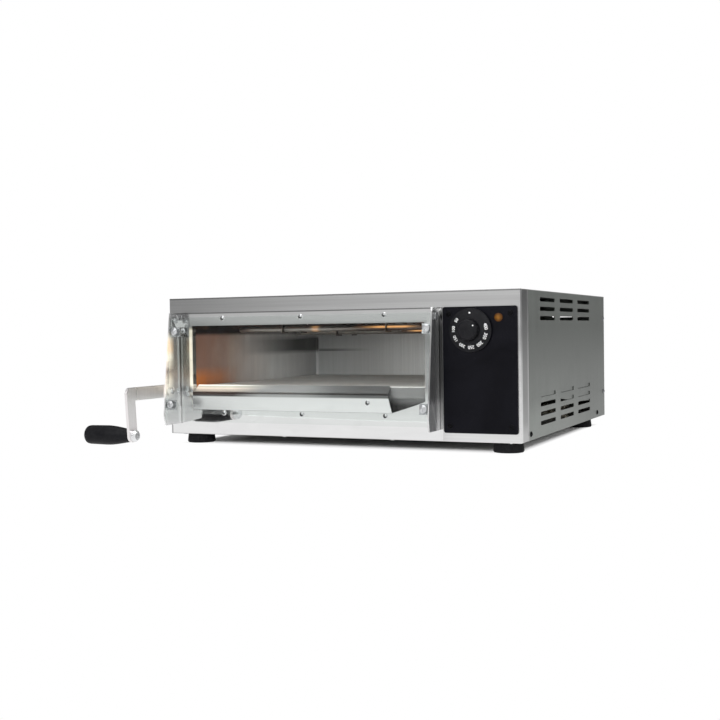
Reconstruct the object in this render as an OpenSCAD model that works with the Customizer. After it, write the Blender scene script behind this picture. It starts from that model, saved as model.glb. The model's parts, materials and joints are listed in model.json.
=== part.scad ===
// Low electric pizza maker for a countertop: a folded sheet-steel body on four feet,
// one heated chamber with a refractory stone, and a glass front door that lifts on two
// polished cheeks, worked by a crank lever. All sizes are in millimetres.
// The body is drawn from its lower front left corner: x to the right, y to the rear, z up.
// The finished model stands on z = 0, with its origin midway across everything in x and y.

/* [Body] */
// Depth from the fascia to the rear panel
body_d = 490; // [470:1:600]
// Height of the body above its feet
body_h = 197; // [190:1:240]
// Thickness of the stainless sheet
sheet_t = 1.2; // [0.8:0.1:1.5]
// Depth of the returns folded back round the fascia
return_d = 36; // [30:1:60]

/* [Feet] */
// Height of a foot
foot_h = 15; // [10:1:30]
// Radius of a foot where it meets the body
foot_top_r = 19; // [16:0.5:24]
// Radius of a foot on the table
foot_bottom_r = 20.5; // [18:0.5:28]
// Distance of a foot's centre from the side of the body
foot_inset_x = 28; // [26:1:60]
// Distance of a front foot's centre from the fascia
foot_front_y = 36; // [34:1:90]
// Distance of a rear foot's centre from the rear of the body
foot_rear_y = 66; // [50:1:90]

/* [Mouth] */
// Left edge of the mouth, from the left side of the body
mouth_left = 38; // [34:1:60]
// Clear width of the mouth; the body's width follows it
mouth_w = 362; // [300:1:420]
// Lower edge of the mouth above the body's underside
mouth_bottom = 35.5; // [30:0.5:40]
// Upper edge of the mouth above the body's underside
mouth_top = 156.7; // [150:0.1:160]
// Distance from the mouth's left edge to the side edge of its polished plate
plate_margin_x = 35; // [30:1:36]
// Height of the polished plate above the mouth
plate_margin_top = 18.8; // [16:0.1:24]
// Depth of the folded jambs round the mouth
jamb_d = 9; // [6:1:14]
// Length of the raised corner at the lower right of the mouth
corner_l = 48; // [30:1:60]
// Height of that raised corner
corner_h = 16; // [8:1:20]

/* [Sill] */
// Height of the sill strip's top above the mouth's lower edge
sill_h = 23.5; // [18:0.5:26]
// Depth of the sill's ramp
ramp_d = 15; // [10:1:16]
// Rise of the sill's ramp up to the stone
ramp_rise = 12; // [6:0.5:14]
// Length of the notch at the sill's right end
sill_notch = 48; // [30:1:60]
// Slant of the sill's right end, across its height
sill_slant = 6; // [0:1:12]

/* [Chamber] */
// Inner depth of the chamber
chamber_d = 398; // [370:1:410]
// Thickness of the refractory stone
stone_t = 16; // [12:1:18]
// Gap between the stone and each side of the mouth
stone_gap = 6; // [2:0.5:12]
// Gap between the stone and the chamber's rear wall
stone_rear_gap = 14.2; // [8:0.2:30]
// Diameter of the heater tubes
heater_d = 8; // [6:0.5:9]
// Distance between the two legs of a heater
heater_pitch = 60; // [40:1:80]
// How much lower the rear upper heater hangs than the front one
heater_step = 5.5; // [0:0.5:8]

/* [Controls] */
// Distance from the mouth to the black control panel
panel_gap = 26; // [25:0.5:40]
// Width of the black control panel
panel_w = 100.4; // [94:0.2:120]
// Distance from the control panel to the right side of the body
panel_margin = 3.6; // [3:0.1:12]
// Height of the control panel
panel_h = 164.3; // [160:0.1:170]
// Thickness of the control panel
panel_t = 2; // [1.5:0.1:3]
// Radius of the knob's numbered skirt
skirt_r = 28.5; // [26:0.5:30]
// Radius of the knob's cap
cap_r = 13.4; // [11:0.1:18]
// How far the knob stands out from the control panel
knob_h = 19; // [15:0.5:26]
// Diameter of the thermostat's shaft
shaft_d = 6; // [5:0.5:7]
// Radius of the pilot lamp's lens
lens_r = 5.6; // [5.2:0.1:8]

/* [Door] */
// Distance of the left cheek's outer face from the mouth
cheek_gap_left = 22.6; // [22:0.1:26]
// Distance of the right cheek's outer face from the mouth
cheek_gap_right = 20.7; // [19:0.1:21.5]
// Thickness of a cheek
cheek_t = 2; // [1.5:0.1:3]
// Depth of the cheeks in front of the fascia at their top
cheek_top_d = 25; // [24:0.5:30]
// Depth of the cheeks in front of the fascia at their lower corner
cheek_low_d = 43; // [38:0.5:50]
// Height of the cheeks' lower edge above the body's underside
cheek_low_z = 15; // [12:0.5:18]
// Height of the cheeks' top above the body's underside
cheek_top_z = 175.5; // [172:0.5:180]
// Thickness of the door glass
glass_t = 4; // [3:0.5:5]
// Height of the lower clamps that hold the glass, above the body's underside
clamp_low_z = 45; // [40:1:48]
// Height of the upper clamps
clamp_high_z = 149; // [120:1:150]
// Diameter of the hinge pins
pin_d = 6; // [5:0.5:8]

/* [Lever] */
// Thickness of the flat bar
bar_t = 4; // [3:0.5:6]
// Width of the flat bar
bar_w = 18; // [16:0.5:20]
// Height of the bar's level arm above the body's underside
arm_z = 64; // [62:0.5:70]
// Reach of the lever in front of the fascia
lever_reach = 119; // [90:1:150]
// Height of the grip's axis above the body's underside
grip_z = 7; // [4:0.5:20]
// Length of the grip
grip_l = 74; // [50:1:90]
// Largest diameter of the grip
grip_d = 27; // [20:0.5:28]
// Diameter of the grip's spindle
spindle_d = 8; // [6:0.5:10]

/* [Fits] */
// Running clearance of a pin or shaft in its bore, on the radius
run_c = 0.05; // [0.02:0.01:0.1]
// Clearance of a screw's shank in a hole, on the radius
hole_c = 0.15; // [0.1:0.05:0.4]
// Gap between sheets that are laid edge to edge
seam_c = 0.3; // [0.2:0.05:0.6]

/* [Hidden] */
$fn = 64;

// the body's width: the mouth, the control panel and the margins
mouth_right = mouth_left + mouth_w;
body_w = mouth_right + panel_gap + panel_w + panel_margin;

// the mouth and the chamber behind it
jamb_c = sheet_t + seam_c;
liner_x0 = mouth_left - jamb_c;
liner_x1 = mouth_right + jamb_c;
liner_z0 = mouth_bottom - jamb_c;
liner_z1 = mouth_top + jamb_c;
liner_y1 = sheet_t + chamber_d;
flange_w = 14;
sill_z = mouth_bottom + sill_h;
stone_z1 = sill_z + ramp_rise - 1;
stone_z0 = stone_z1 - stone_t;
stone_w = mouth_w - 2 * stone_gap;
stone_x0 = mouth_left + stone_gap;
stone_y0 = ramp_d + 2;
stone_d = liner_y1 - stone_rear_gap - stone_y0;

// the screws of the mouth plate, in three columns and two rows
mouth_screw_x = [for (i = [-1:1]) mouth_left + mouth_w * (0.493 + i * 0.348)];
mouth_screw_z = [mouth_bottom - 4, mouth_top + 10.3];

// the heaters: two hairpins above and two below the stone
heater_r = heater_d / 2;
heater_y = [for (s = [0.27, 0.73]) sheet_t + chamber_d * s];
upper_z = [for (i = [0, 1]) mouth_top - 6.5 - i * heater_step];
lower_z = [for (i = [0, 1]) liner_z0 + (stone_z0 - liner_z0) / 2];
heater_x0 = mouth_left + 24;
clip_x = [mouth_left + mouth_w * 0.304, mouth_left + mouth_w * 0.76];

// the electrical compartment on the right
panel_x = mouth_right + panel_gap;
partition_x = panel_x - 2;
panel_z = 11.4;
knob_x = panel_x + panel_w * 0.389;
knob_z = panel_z + panel_h * 0.8138;
lamp_x = panel_x + panel_w * 0.758;
lamp_z = panel_z + panel_h * 0.9111;
panel_hole = [8.5, 8.9];
case_w = 36;
case_d = 30;
gland_x = (partition_x + body_w) / 2 + 1;
gland_z = 42;
gland_r = 4.5;
gland_l = 17;

// the fasteners' shank and head radii
screw_r = 2;
head_r = 3.7;
bolt_r = 3;
bolt_head_r = 5.2;
tray_lip = 13;
side_screw_z = 8;
side_screw_y = [44, body_d - 56];
base_screw_y = 10;
foot_points = [
    for (x = [foot_inset_x, body_w - foot_inset_x], y = [foot_front_y, body_d - foot_rear_y])
        [x, y]
];
rear_screw_z = [40, body_h - 36];

// the door: pivot, slope of the glass and its inner width
pivot_y = -14.5;
pivot_z = cheek_top_z - 11.5;
cheek_back = 3;
corner_z = cheek_low_z + 17;
slope = atan((cheek_low_d - cheek_top_d) / (cheek_top_z - corner_z));
glass_inset = 2.2;
cheek_left = mouth_left - cheek_gap_left;
door_x1 = mouth_right + cheek_gap_right;
inner_x0 = cheek_left + cheek_t;
inner_x1 = door_x1 - cheek_t;
glass_low = cheek_low_z + 7 - corner_z;
glass_len = (cheek_top_z - corner_z) / cos(slope) - glass_low - 6;
clamp_w = 14;
clamp_h = 14;
clamp_d = 5;
clamp_t = 2.4;
clamp_high = (clamp_high_z - corner_z) / cos(slope);
clamp_low = (clamp_low_z - corner_z) / cos(slope);
ear_t = 1.5;
ear_c = 0.4;
ear_r = 4.8;
hinge_screw_z = mouth_top - 7;

// the lever
bar_x = cheek_left - bar_t;
bend_y = -lever_reach;
foot_y = bend_y + 4.5;
bolt_y = [-12, -26];
grip_c = 0.6;

// the whole model's extent in x and y, and its middle
left_end = bar_x - grip_c - grip_l;
right_end = body_w + 0.55 * head_r;
front_end = min(bend_y - bar_w / 2, foot_y - grip_d / 2);
rear_end = body_d + gland_l;
middle = [(left_end + right_end) / 2, (front_end + rear_end) / 2];

module in_body() {
    translate([-middle.x, -middle.y, foot_h]) children();
}

// a bar of radius r from point a to point b
module rod(a, b, r) {
    d = b - a;
    len = norm(d);
    translate(a)
        rotate([0, acos(d.z / len), atan2(d.y, d.x)])
            cylinder(r = r, h = len);
}

// rods through a list of points, with round elbows
module bent_rod(points, r) {
    for (i = [0:len(points) - 2]) {
        rod(points[i], points[i + 1], r);
    }
    for (i = [1:len(points) - 2]) {
        translate(points[i]) sphere(r = r * 1.03);
    }
}

// a pan-head screw: its head stands out along -y from the origin, its shank runs along +y
module screw(l, r = screw_r, head = head_r) {
    rotate([-90, 0, 0]) {
        cylinder(r = r, h = l);
        difference() {
            intersection() {
                translate([0, 0, -head * 0.55]) cylinder(r = head, h = head * 0.55);
                translate([0, 0, head * 0.9]) sphere(r = head * 1.45);
            }
            for (a = [0, 90]) {
                rotate([0, 0, a])
                    translate([-head * 0.6, -head * 0.12, -head])
                        cube([head * 1.2, head * 0.24, head * 0.75]);
            }
        }
    }
}

// a hole for that screw
module screw_hole(l, r = screw_r) {
    translate([0, -l / 2, 0]) rotate([-90, 0, 0]) cylinder(r = r + hole_c, h = l);
}

// ---------------------------------------------------------------- the sheet-metal body

module base_tray() {
    x0 = sheet_t;
    x1 = body_w - sheet_t;
    y0 = 20;
    y1 = body_d - sheet_t;
    color("gainsboro") in_body() difference() {
        union() {
            // the floor, with a joggled tongue over the fascia's lower return
            translate([x0, y0 + seam_c, 0]) cube([x1 - x0, y1 - y0 - seam_c, sheet_t]);
            translate([x0, 4, sheet_t]) cube([x1 - x0, y0 + 4, sheet_t]);
            // the side lips that the cover is screwed to
            for (x = [x0, x1 - sheet_t]) {
                translate([x, return_d + 2, 0]) cube([sheet_t, y1 - return_d - 2, tray_lip]);
            }
            translate([x0, y1 - sheet_t, 0]) cube([x1 - x0, sheet_t, tray_lip]);
        }
        for (p = foot_points) {
            translate([p.x, p.y, -1]) cylinder(r = bolt_r + hole_c, h = 10);
        }
        for (x = side_faces(), y = side_screw_y) {
            translate([x, y, side_screw_z]) rotate([0, 0, 90]) screw_hole(12);
        }
        for (x = base_screw_x()) {
            translate([x, base_screw_y, 0]) rotate([90, 0, 0]) screw_hole(12);
        }
        // the floor's vent slots below the electrical compartment
        for (i = [0:5]) {
            translate([partition_x + 22, 150 + i * 36, 0]) slot_cut(62, 5, 12);
        }
    }
}

function side_faces() = [0, body_w];
function base_screw_x() = [for (i = [0:3]) 17 + i * (body_w - 34) / 3];

// a slot with round ends, l long in x and w wide in y, cut through z
module slot_cut(l, w, h) {
    translate([w / 2, 0, -h / 2]) cylinder(r = w / 2, h = h);
    translate([l - w / 2, 0, -h / 2]) cylinder(r = w / 2, h = h);
    translate([w / 2, -w / 2, -h / 2]) cube([l - w, w, h]);
}

module front_panel() {
    color("silver") in_body() difference() {
        union() {
            cube([body_w, sheet_t, body_h]);
            for (x = [0, body_w - sheet_t]) {
                translate([x, 0, 0]) cube([sheet_t, return_d, body_h]);
            }
            translate([0, 0, body_h - sheet_t]) cube([body_w, return_d, sheet_t]);
            cube([body_w, 20, sheet_t]);
        }
        translate([liner_x0, -1, liner_z0])
            cube([liner_x1 - liner_x0, sheet_t + 2, liner_z1 - liner_z0]);
        mouth_holes();
        panel_holes();
        for (x = base_screw_x()) {
            translate([x, base_screw_y, 0]) rotate([90, 0, 0]) screw_hole(12);
        }
    }
}

module mouth_holes() {
    for (x = mouth_screw_x, z = mouth_screw_z) {
        translate([x, 0, z]) screw_hole(20);
    }
    for (x = hinge_screw_x()) {
        translate([x, 0, hinge_screw_z]) screw_hole(20);
    }
}

function hinge_screw_x() = [inner_x0 + 6.5, inner_x1 - 6.5];

module panel_holes() {
    for (p = panel_screw_points()) {
        translate([p.x, 0, p.y]) screw_hole(20);
    }
    for (s = [-1, 1]) {
        translate([knob_x + s * 14, 0, knob_z]) screw_hole(20);
    }
    translate([knob_x, -10, knob_z]) rotate([-90, 0, 0]) cylinder(r = 5.2, h = 20);
    translate([lamp_x, -10, lamp_z]) rotate([-90, 0, 0]) cylinder(r = 5.1, h = 20);
}

function panel_screw_points() = [
    for (x = [panel_hole.x, panel_w - panel_hole.x], z = [panel_hole.y, panel_h - panel_hole.y])
        [panel_x + x, panel_z + z]
];

// the vent louvres in the right side: three columns, three rows above and four below
module side_slots() {
    for (c = [0:2], r = [0:2]) {
        translate([body_w, slot_y0 + c * slot_pitch, body_h - 11.8 - r * row_pitch])
            rotate([0, 90, 0]) rotate([0, 0, 90]) slot_cut(slot_l, 5.6, 2 * sheet_t + 0.8);
    }
    for (c = [0:2], r = [0:3]) {
        translate([body_w, slot_y0 + c * slot_pitch, slot_z0 + r * row_pitch])
            rotate([0, 90, 0]) rotate([0, 0, 90]) slot_cut(slot_l, 5.6, 2 * sheet_t + 0.8);
    }
}

slot_y0 = 92.5;
slot_z0 = 18.2;
slot_l = 78.5;
slot_pitch = 106;
row_pitch = 12.65;

// a splash guard welded inside the cover, low at the rear, behind the lower vents
module vent_guard() {
    x = body_w - 2 * sheet_t;
    y1 = slot_y0 + 2 * slot_pitch + slot_l + 9.5;
    z1 = slot_z0 + 3 * row_pitch + 9;
    color("gray") in_body() translate([x, 0, 0]) rotate([90, 0, 90])
        linear_extrude(sheet_t) polygon([
            [slot_y0 - 12, slot_z0 + 2.69 * row_pitch],
            [slot_y0 + slot_pitch - 10, slot_z0 + 2.25 * row_pitch],
            [slot_y0 + 2 * slot_pitch - 7, slot_z0 + 1.3 * row_pitch],
            [y1, slot_z0 + row_pitch], [y1, z1], [slot_y0 - 12, z1]
        ]);
}

module outer_cover() {
    y0 = return_d + seam_c;
    color("gray") in_body() difference() {
        union() {
            for (x = [0, body_w - sheet_t]) {
                translate([x, y0, 0]) cube([sheet_t, body_d - y0, body_h]);
            }
            translate([0, y0, body_h - sheet_t]) cube([body_w, body_d - y0, sheet_t]);
            // the joggled tongues that slip behind the fascia's returns
            for (x = [sheet_t, body_w - 2 * sheet_t]) {
                translate([x, return_d - 14, tray_lip + 2])
                    cube([sheet_t, 26, body_h - tray_lip - 2 - 2 * sheet_t]);
            }
            translate([sheet_t, return_d - 14, body_h - 2 * sheet_t])
                cube([body_w - 2 * sheet_t, 26, sheet_t]);
        }
        side_slots();
        for (x = side_faces(), y = side_screw_y) {
            translate([x, y, side_screw_z]) rotate([0, 0, 90]) screw_hole(12);
        }
        for (x = side_faces(), z = rear_screw_z) {
            translate([x, body_d - 8, z]) rotate([0, 0, 90]) screw_hole(12);
        }
    }
}

module rear_panel() {
    color("silver") in_body() difference() {
        translate([sheet_t, body_d - sheet_t, 0])
            cube([body_w - 2 * sheet_t, sheet_t, body_h - sheet_t]);
        translate([gland_x, body_d - 10, gland_z])
            rotate([-90, 0, 0]) cylinder(r = 8 + hole_c, h = 20);
        // two banks of vent slots
        for (i = [0:3], bank = [0, 1]) {
            translate([partition_x + 18, body_d, body_h - 30 - i * 12.6 - bank * 52])
                rotate([90, 0, 0]) slot_cut(70, 5.6, 12);
        }
    }
}

// angle tabs, spot-welded inside the rear panel, that take the cover's rear screws
module rear_tabs() {
    color("silver") in_body() for (side = [0, 1], z = rear_screw_z) difference() {
        mirror_to(side, body_w) union() {
            translate([sheet_t, body_d - 15, z - 12]) cube([sheet_t, 15 - sheet_t, 24]);
            translate([sheet_t, body_d - 2 * sheet_t, z - 12]) cube([12, sheet_t, 24]);
        }
        translate([side * body_w, body_d - 8, z]) rotate([0, 0, 90]) screw_hole(12);
    }
}

module partition() {
    color("lightgray") in_body() difference() {
        union() {
            translate([partition_x, return_d - 12, 2 * sheet_t])
                cube([sheet_t, body_d - return_d - 8, body_h - 4 * sheet_t]);
            translate([partition_x, return_d - 12, 2 * sheet_t])
                cube([12, body_d - return_d - 8, sheet_t]);
        }
        heater_bores();
        probe_bore();
    }
}

// the holes that the heater tubes pass through on the chamber's right
module heater_bores() {
    for (i = [0, 1], s = [-1, 1], z = [upper_z[i], lower_z[i]]) {
        translate([mouth_right - 20, heater_y[i] + s * heater_pitch / 2, z])
            rotate([0, 90, 0]) cylinder(r = heater_r + hole_c, h = 90);
    }
}

module probe_bore() {
    translate([mouth_right - 20, probe_y, probe_z])
        rotate([0, 90, 0]) cylinder(r = 1.2 + hole_c, h = 90);
}

probe_y = heater_y[0] + heater_pitch / 2 + 22;
probe_z = upper_z[1] - 12;
probe_l = 70;

// ------------------------------------------------------------------ the mouth and chamber

// the mouth's outline: its lower right corner is raised along a slant
module mouth_outline() {
    polygon([
        [mouth_left, mouth_bottom],
        [mouth_right - corner_l, mouth_bottom],
        [mouth_right - corner_l / 4, mouth_bottom + corner_h * 0.72],
        [mouth_right, mouth_bottom + corner_h],
        [mouth_right, mouth_top],
        [mouth_left, mouth_top]
    ]);
}

module mouth_plate() {
    plate_x0 = mouth_left - plate_margin_x;
    plate_w = plate_margin_x + mouth_w + panel_gap - 1;
    color("whitesmoke") in_body() {
        difference() {
            translate([plate_x0, -sheet_t, 0.8])
                cube([plate_w, sheet_t, mouth_top + plate_margin_top - 0.8]);
            rotate([90, 0, 0]) translate([0, 0, -1]) linear_extrude(4) mouth_outline();
            mouth_holes();
        }
        // the jambs: left, right and head
        for (x = [mouth_left - sheet_t, mouth_right]) {
            translate([x, -sheet_t, mouth_bottom + corner_h])
                cube([sheet_t, jamb_d + sheet_t, mouth_top - mouth_bottom - corner_h + sheet_t]);
        }
        translate([mouth_left, -sheet_t, mouth_top]) cube([mouth_w, jamb_d + sheet_t, sheet_t]);
    }
}

// the sill's section from front to rear: an upright strip and a ramp up to the stone
module sill_section() {
    polygon([
        [-sheet_t, mouth_bottom + seam_c],
        [0, mouth_bottom + seam_c],
        [0, sill_z - sheet_t / 2],
        [ramp_d, sill_z + ramp_rise - sheet_t],
        [ramp_d, sill_z + ramp_rise],
        [-sheet_t, sill_z]
    ]);
}

module sill_plate() {
    x1 = mouth_right - sill_notch;
    color("white") in_body() difference() {
        translate([mouth_left + seam_c, 0, 0])
            rotate([90, 0, 90]) linear_extrude(x1 - mouth_left) sill_section();
        // the slanted right end
        translate([x1, -5, mouth_bottom]) rotate([0, -atan(sill_slant / sill_h), 0])
            cube([40, ramp_d + 20, 90]);
        translate([sill_screw_x, 0, sill_screw_z]) screw_hole(20);
    }
}

sill_screw_x = mouth_right - sill_notch - 35.4;
sill_screw_z = mouth_bottom + 13.3;

// the angle that the sill's strip is screwed to, standing on the chamber's floor
module sill_support() {
    l = sill_screw_x + 5.4 - mouth_left - 30;
    color("silver") in_body() difference() {
        translate([mouth_left + 30, 0, liner_z0]) {
            cube([l, sheet_t, sill_h - 4]);
            cube([l, ramp_d - 3, sheet_t]);
        }
        translate([sill_screw_x, 0, sill_screw_z]) screw_hole(20);
    }
}

module chamber_liner() {
    w = liner_x1 - liner_x0;
    h = liner_z1 - liner_z0;
    color("darkgray") in_body() difference() {
        union() {
            translate([liner_x0 - sheet_t, sheet_t, liner_z0 - sheet_t])
                cube([w + 2 * sheet_t, chamber_d + sheet_t, h + 2 * sheet_t]);
            // the flange behind the fascia
            translate([liner_x0 - flange_w, sheet_t, liner_z0 - flange_w])
                cube([w + 2 * flange_w, sheet_t, h + 2 * flange_w]);
        }
        translate([liner_x0, -1, liner_z0]) cube([w, chamber_d + 1 + sheet_t, h]);
        mouth_holes();
        heater_bores();
        probe_bore();
    }
}

module insulation() {
    y0 = 14;
    color("khaki") in_body() difference() {
        translate([2 * sheet_t + 1, y0, 2 * sheet_t])
            cube([
                partition_x - 2 * sheet_t - 1, body_d - y0 - 24, body_h - 4 * sheet_t - 6
            ]);
        translate([liner_x0 - sheet_t, -1, liner_z0 - sheet_t])
            cube([
                liner_x1 - liner_x0 + 2 * sheet_t, chamber_d + 2 * sheet_t + 1,
                liner_z1 - liner_z0 + 2 * sheet_t
            ]);
        // room for the joggled tongues of the cover and the tray
        translate([0, 0, -1]) cube([body_w, 36, 6]);
        translate([0, 0, tray_lip]) cube([2 * sheet_t + 2, return_d + 14, body_h]);
        heater_bores();
        probe_bore();
        for (p = foot_points) {
            translate([p.x, p.y, -1]) cylinder(r = 8, h = 14);
        }
        for (y = side_screw_y) {
            translate([0, y, side_screw_z]) rotate([0, 0, 90]) screw_hole(40, 5);
        }
    }
}

// the two hat-shaped rails across the chamber that carry the stone
module stone_supports() {
    rail_w = 18;
    top_z = stone_z0;
    color("dimgray") in_body()
        for (y = [stone_y0 + 4, stone_y0 + stone_d - rail_w - 4]) {
            translate([liner_x0 + 2, y, 0]) rotate([90, 0, 90])
                linear_extrude(liner_x1 - liner_x0 - 4) polygon([
                    [0, liner_z0], [4, liner_z0], [4, top_z - sheet_t],
                    [rail_w - 4, top_z - sheet_t], [rail_w - 4, liner_z0],
                    [rail_w, liner_z0], [rail_w, liner_z0 + sheet_t],
                    [rail_w - 4 + sheet_t, liner_z0 + sheet_t], [rail_w - 4 + sheet_t, top_z],
                    [4 - sheet_t, top_z], [4 - sheet_t, liner_z0 + sheet_t],
                    [0, liner_z0 + sheet_t]
                ]);
        }
}

module refractory_stone() {
    bevel = 1.5;
    color("tan") in_body() translate([stone_x0, stone_y0, stone_z0])
        rotate([90, 0, 90]) linear_extrude(stone_w) polygon([
            [0, 0], [stone_d, 0], [stone_d, stone_t - bevel], [stone_d - bevel, stone_t],
            [bevel, stone_t], [0, stone_t - bevel]
        ]);
}

// one hairpin heater: two straight legs joined by a half turn, with a pin at each end
module hairpin(y, z) {
    x1 = partition_x + 14;
    r = heater_pitch / 2;
    for (s = [-1, 1]) {
        translate([heater_x0 + r, y + s * r, z]) rotate([0, 90, 0])
            cylinder(r = heater_r, h = x1 - heater_x0 - r);
        translate([x1, y + s * r, z]) rotate([0, 90, 0]) cylinder(r = 1.8, h = 12);
    }
    translate([heater_x0 + r, y, z]) rotate([0, 0, 90])
        rotate_extrude(angle = 180) translate([r, 0]) circle(r = heater_r);
}

module upper_heaters() {
    color("darkorange") in_body() for (i = [0, 1]) hairpin(heater_y[i], upper_z[i]);
}

module lower_heaters() {
    color("sienna") in_body() for (i = [0, 1]) hairpin(heater_y[i], lower_z[i]);
}

// the two hangers of a hairpin at y and z: they reach from z0 to z1
module clips(y, z, z0, z1) {
    for (x = clip_x) {
        difference() {
            translate([x, y - heater_pitch / 2 - 9, z0])
                cube([sheet_t, heater_pitch + 18, z1 - z0]);
            for (s = [-1, 1]) {
                translate([x - 5, y + s * heater_pitch / 2, z]) rotate([0, 90, 0])
                    cylinder(r = heater_r + hole_c, h = 12);
            }
            translate([x - 5, y - heater_pitch / 2 + 10, z - heater_r - 4])
                cube([12, heater_pitch - 20, 2 * heater_r + 1]);
        }
    }
}

module upper_clips() {
    color("silver") in_body() for (i = [0, 1]) {
        clips(heater_y[i], upper_z[i], upper_z[i] - heater_r - 2, liner_z1);
    }
}

module lower_clips() {
    color("silver") in_body() for (i = [0, 1]) {
        clips(heater_y[i], lower_z[i], liner_z0, lower_z[i] + heater_r + 2);
    }
}

// ---------------------------------------------------------------------- the controls

// the sensing bulb on the chamber's right wall, and its thin tube to the thermostat
module thermostat_probe() {
    x = mouth_right - 7;
    wall_x = partition_x + 16;
    color("lightgray") in_body() {
        rod([x, probe_y - 3, probe_z], [x, probe_y - 3 + probe_l, probe_z], 3);
        bent_rod([
            [x, probe_y, probe_z], [wall_x, probe_y, probe_z],
            [wall_x, case_d + 24, probe_z], [knob_x - 8, case_d + 24, knob_z + 6],
            [knob_x - 8, sheet_t + case_d, knob_z + 6]
        ], 1);
    }
}

module control_panel() {
    r = 3;
    color("#1c1c1e") in_body() difference() {
        translate([panel_x, 0, panel_z]) rotate([90, 0, 0]) linear_extrude(panel_t) {
            translate([r, 0]) square([panel_w - 2 * r, panel_h]);
            translate([0, r]) square([panel_w, panel_h - 2 * r]);
            for (x = [r, panel_w - r], z = [r, panel_h - r]) {
                translate([x, z]) circle(r = r);
            }
        }
        panel_holes();
    }
}

module thermostat_body() {
    color("beige") in_body() translate([knob_x, 0, knob_z]) difference() {
        union() {
            translate([-case_w / 2, sheet_t, -case_w / 2]) cube([case_w, case_d, case_w]);
            rotate([90, 0, 0]) translate([0, 0, -sheet_t - 1]) cylinder(r = 5, h = sheet_t + 3);
            for (s = [-1, 1]) {
                translate([s * 10 - 3, sheet_t + case_d, -10]) cube([6, 8, 0.8]);
            }
        }
        rotate([-90, 0, 0]) translate([0, 0, -5]) cylinder(r = shaft_d / 2 + run_c, h = 25);
        for (s = [-1, 1]) {
            translate([s * 14, 0, 0]) rotate([-90, 0, 0]) cylinder(r = 2.05, h = 12);
        }
    }
}

module thermostat_screws() {
    color("silver") in_body() for (s = [-1, 1]) {
        translate([knob_x + s * 14, -panel_t, knob_z]) screw(panel_t + sheet_t + 8);
    }
}

module pilot_lamp() {
    color("black") in_body() translate([lamp_x, 0, lamp_z]) rotate([-90, 0, 0]) {
        translate([0, 0, -panel_t]) cylinder(r = 4.9, h = panel_t + 24);
        translate([0, 0, sheet_t]) cylinder(r = 8, h = 5);
        for (s = [-1, 1]) {
            translate([s * 2.5 - 0.4, -1.5, 24]) cube([0.8, 3, 9]);
        }
    }
}

module lamp_lens() {
    color("orange") in_body() translate([lamp_x, -panel_t, lamp_z]) rotate([90, 0, 0])
        intersection() {
            cylinder(r = lens_r, h = 4);
            translate([0, 0, 3.2 - lens_r * 1.7]) sphere(r = lens_r * 1.7);
        }
}

module knob() {
    y0 = panel_t + 3;
    color("#141416") in_body() translate([knob_x, 0, knob_z]) rotate([90, 0, 0])
        difference() {
            union() {
                rotate_extrude() polygon([
                    [0, y0], [skirt_r - 1, y0], [skirt_r, y0 + 1], [skirt_r, y0 + 1.6],
                    [cap_r + 5, y0 + 4.2], [cap_r + 1.2, y0 + 5], [cap_r + 0.6, y0 + 7],
                    [cap_r, panel_t + knob_h - 2], [cap_r - 1, panel_t + knob_h - 0.6],
                    [cap_r - 2.4, panel_t + knob_h], [0, panel_t + knob_h]
                ]);
                // the finger ribs round the cap
                for (i = [0:17]) {
                    rotate([0, 0, i * 20]) translate([cap_r + 0.1, 0, y0 + 4])
                        cylinder(r = 0.8, h = knob_h - 11);
                }
            }
            translate([0, 0, y0 - 1]) cylinder(r = shaft_d / 2, h = knob_h - 8);
        }
}

module thermostat_shaft() {
    color("silver") in_body() translate([knob_x, 0, knob_z]) rotate([90, 0, 0])
        translate([0, 0, -18]) cylinder(r = shaft_d / 2, h = 18 + panel_t + 3 + knob_h - 9);
}

// three poles on a block behind the cable gland
module terminal_block() {
    w = 14;
    color("ivory") in_body()
        translate([partition_x + 22, body_d - 92, 3 * sheet_t]) difference() {
            union() {
                translate([0, 0, -2 * sheet_t]) cube([3 * w, 24, 8]);
                for (i = [0:2]) {
                    translate([i * w + 1.5, 2, 4]) cube([w - 3, 20, 14]);
                }
            }
            for (i = [0:2], y = [7, 17]) {
                translate([(i + 0.5) * w, y, 9]) cylinder(r = 2.4, h = 20);
            }
            for (i = [0:2]) {
                translate([(i + 0.5) * w, -5, 10]) rotate([-90, 0, 0]) cylinder(r = 2, h = 40);
            }
        }
}

module cable_gland() {
    color("#202020") in_body() translate([gland_x, body_d, gland_z]) rotate([-90, 0, 0])
        difference() {
            union() {
                translate([0, 0, -12]) cylinder(r = 8, h = 12);
                cylinder(r = 12.2, h = 6, $fn = 6);
                translate([0, 0, 6]) cylinder(r = 9.4, h = 5);
                translate([0, 0, 11]) cylinder(r1 = 9.4, r2 = 7.2, h = 6);
            }
            translate([0, 0, -20]) cylinder(r = gland_r, h = 60);
        }
}

module gland_locknut() {
    color("#202020") in_body() translate([gland_x, body_d - sheet_t, gland_z])
        rotate([90, 0, 0]) difference() {
            cylinder(r = 12, h = 4.5, $fn = 6);
            translate([0, 0, -1]) cylinder(r = 8 + run_c, h = 10);
        }
}

// --------------------------------------------------------------------- feet and screws

module foot(x, y) {
    color("#1a1a1a") in_body() translate([x, y, -foot_h]) difference() {
        union() {
            translate([0, 0, 2]) cylinder(r1 = foot_bottom_r, r2 = foot_top_r, h = foot_h - 2);
            cylinder(r1 = foot_bottom_r - 1.2, r2 = foot_bottom_r, h = 2);
        }
        translate([0, 0, -1]) cylinder(r = 8, h = foot_h - 4);
        translate([0, 0, -1]) cylinder(r = bolt_r + hole_c, h = foot_h + 2);
    }
}

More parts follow.
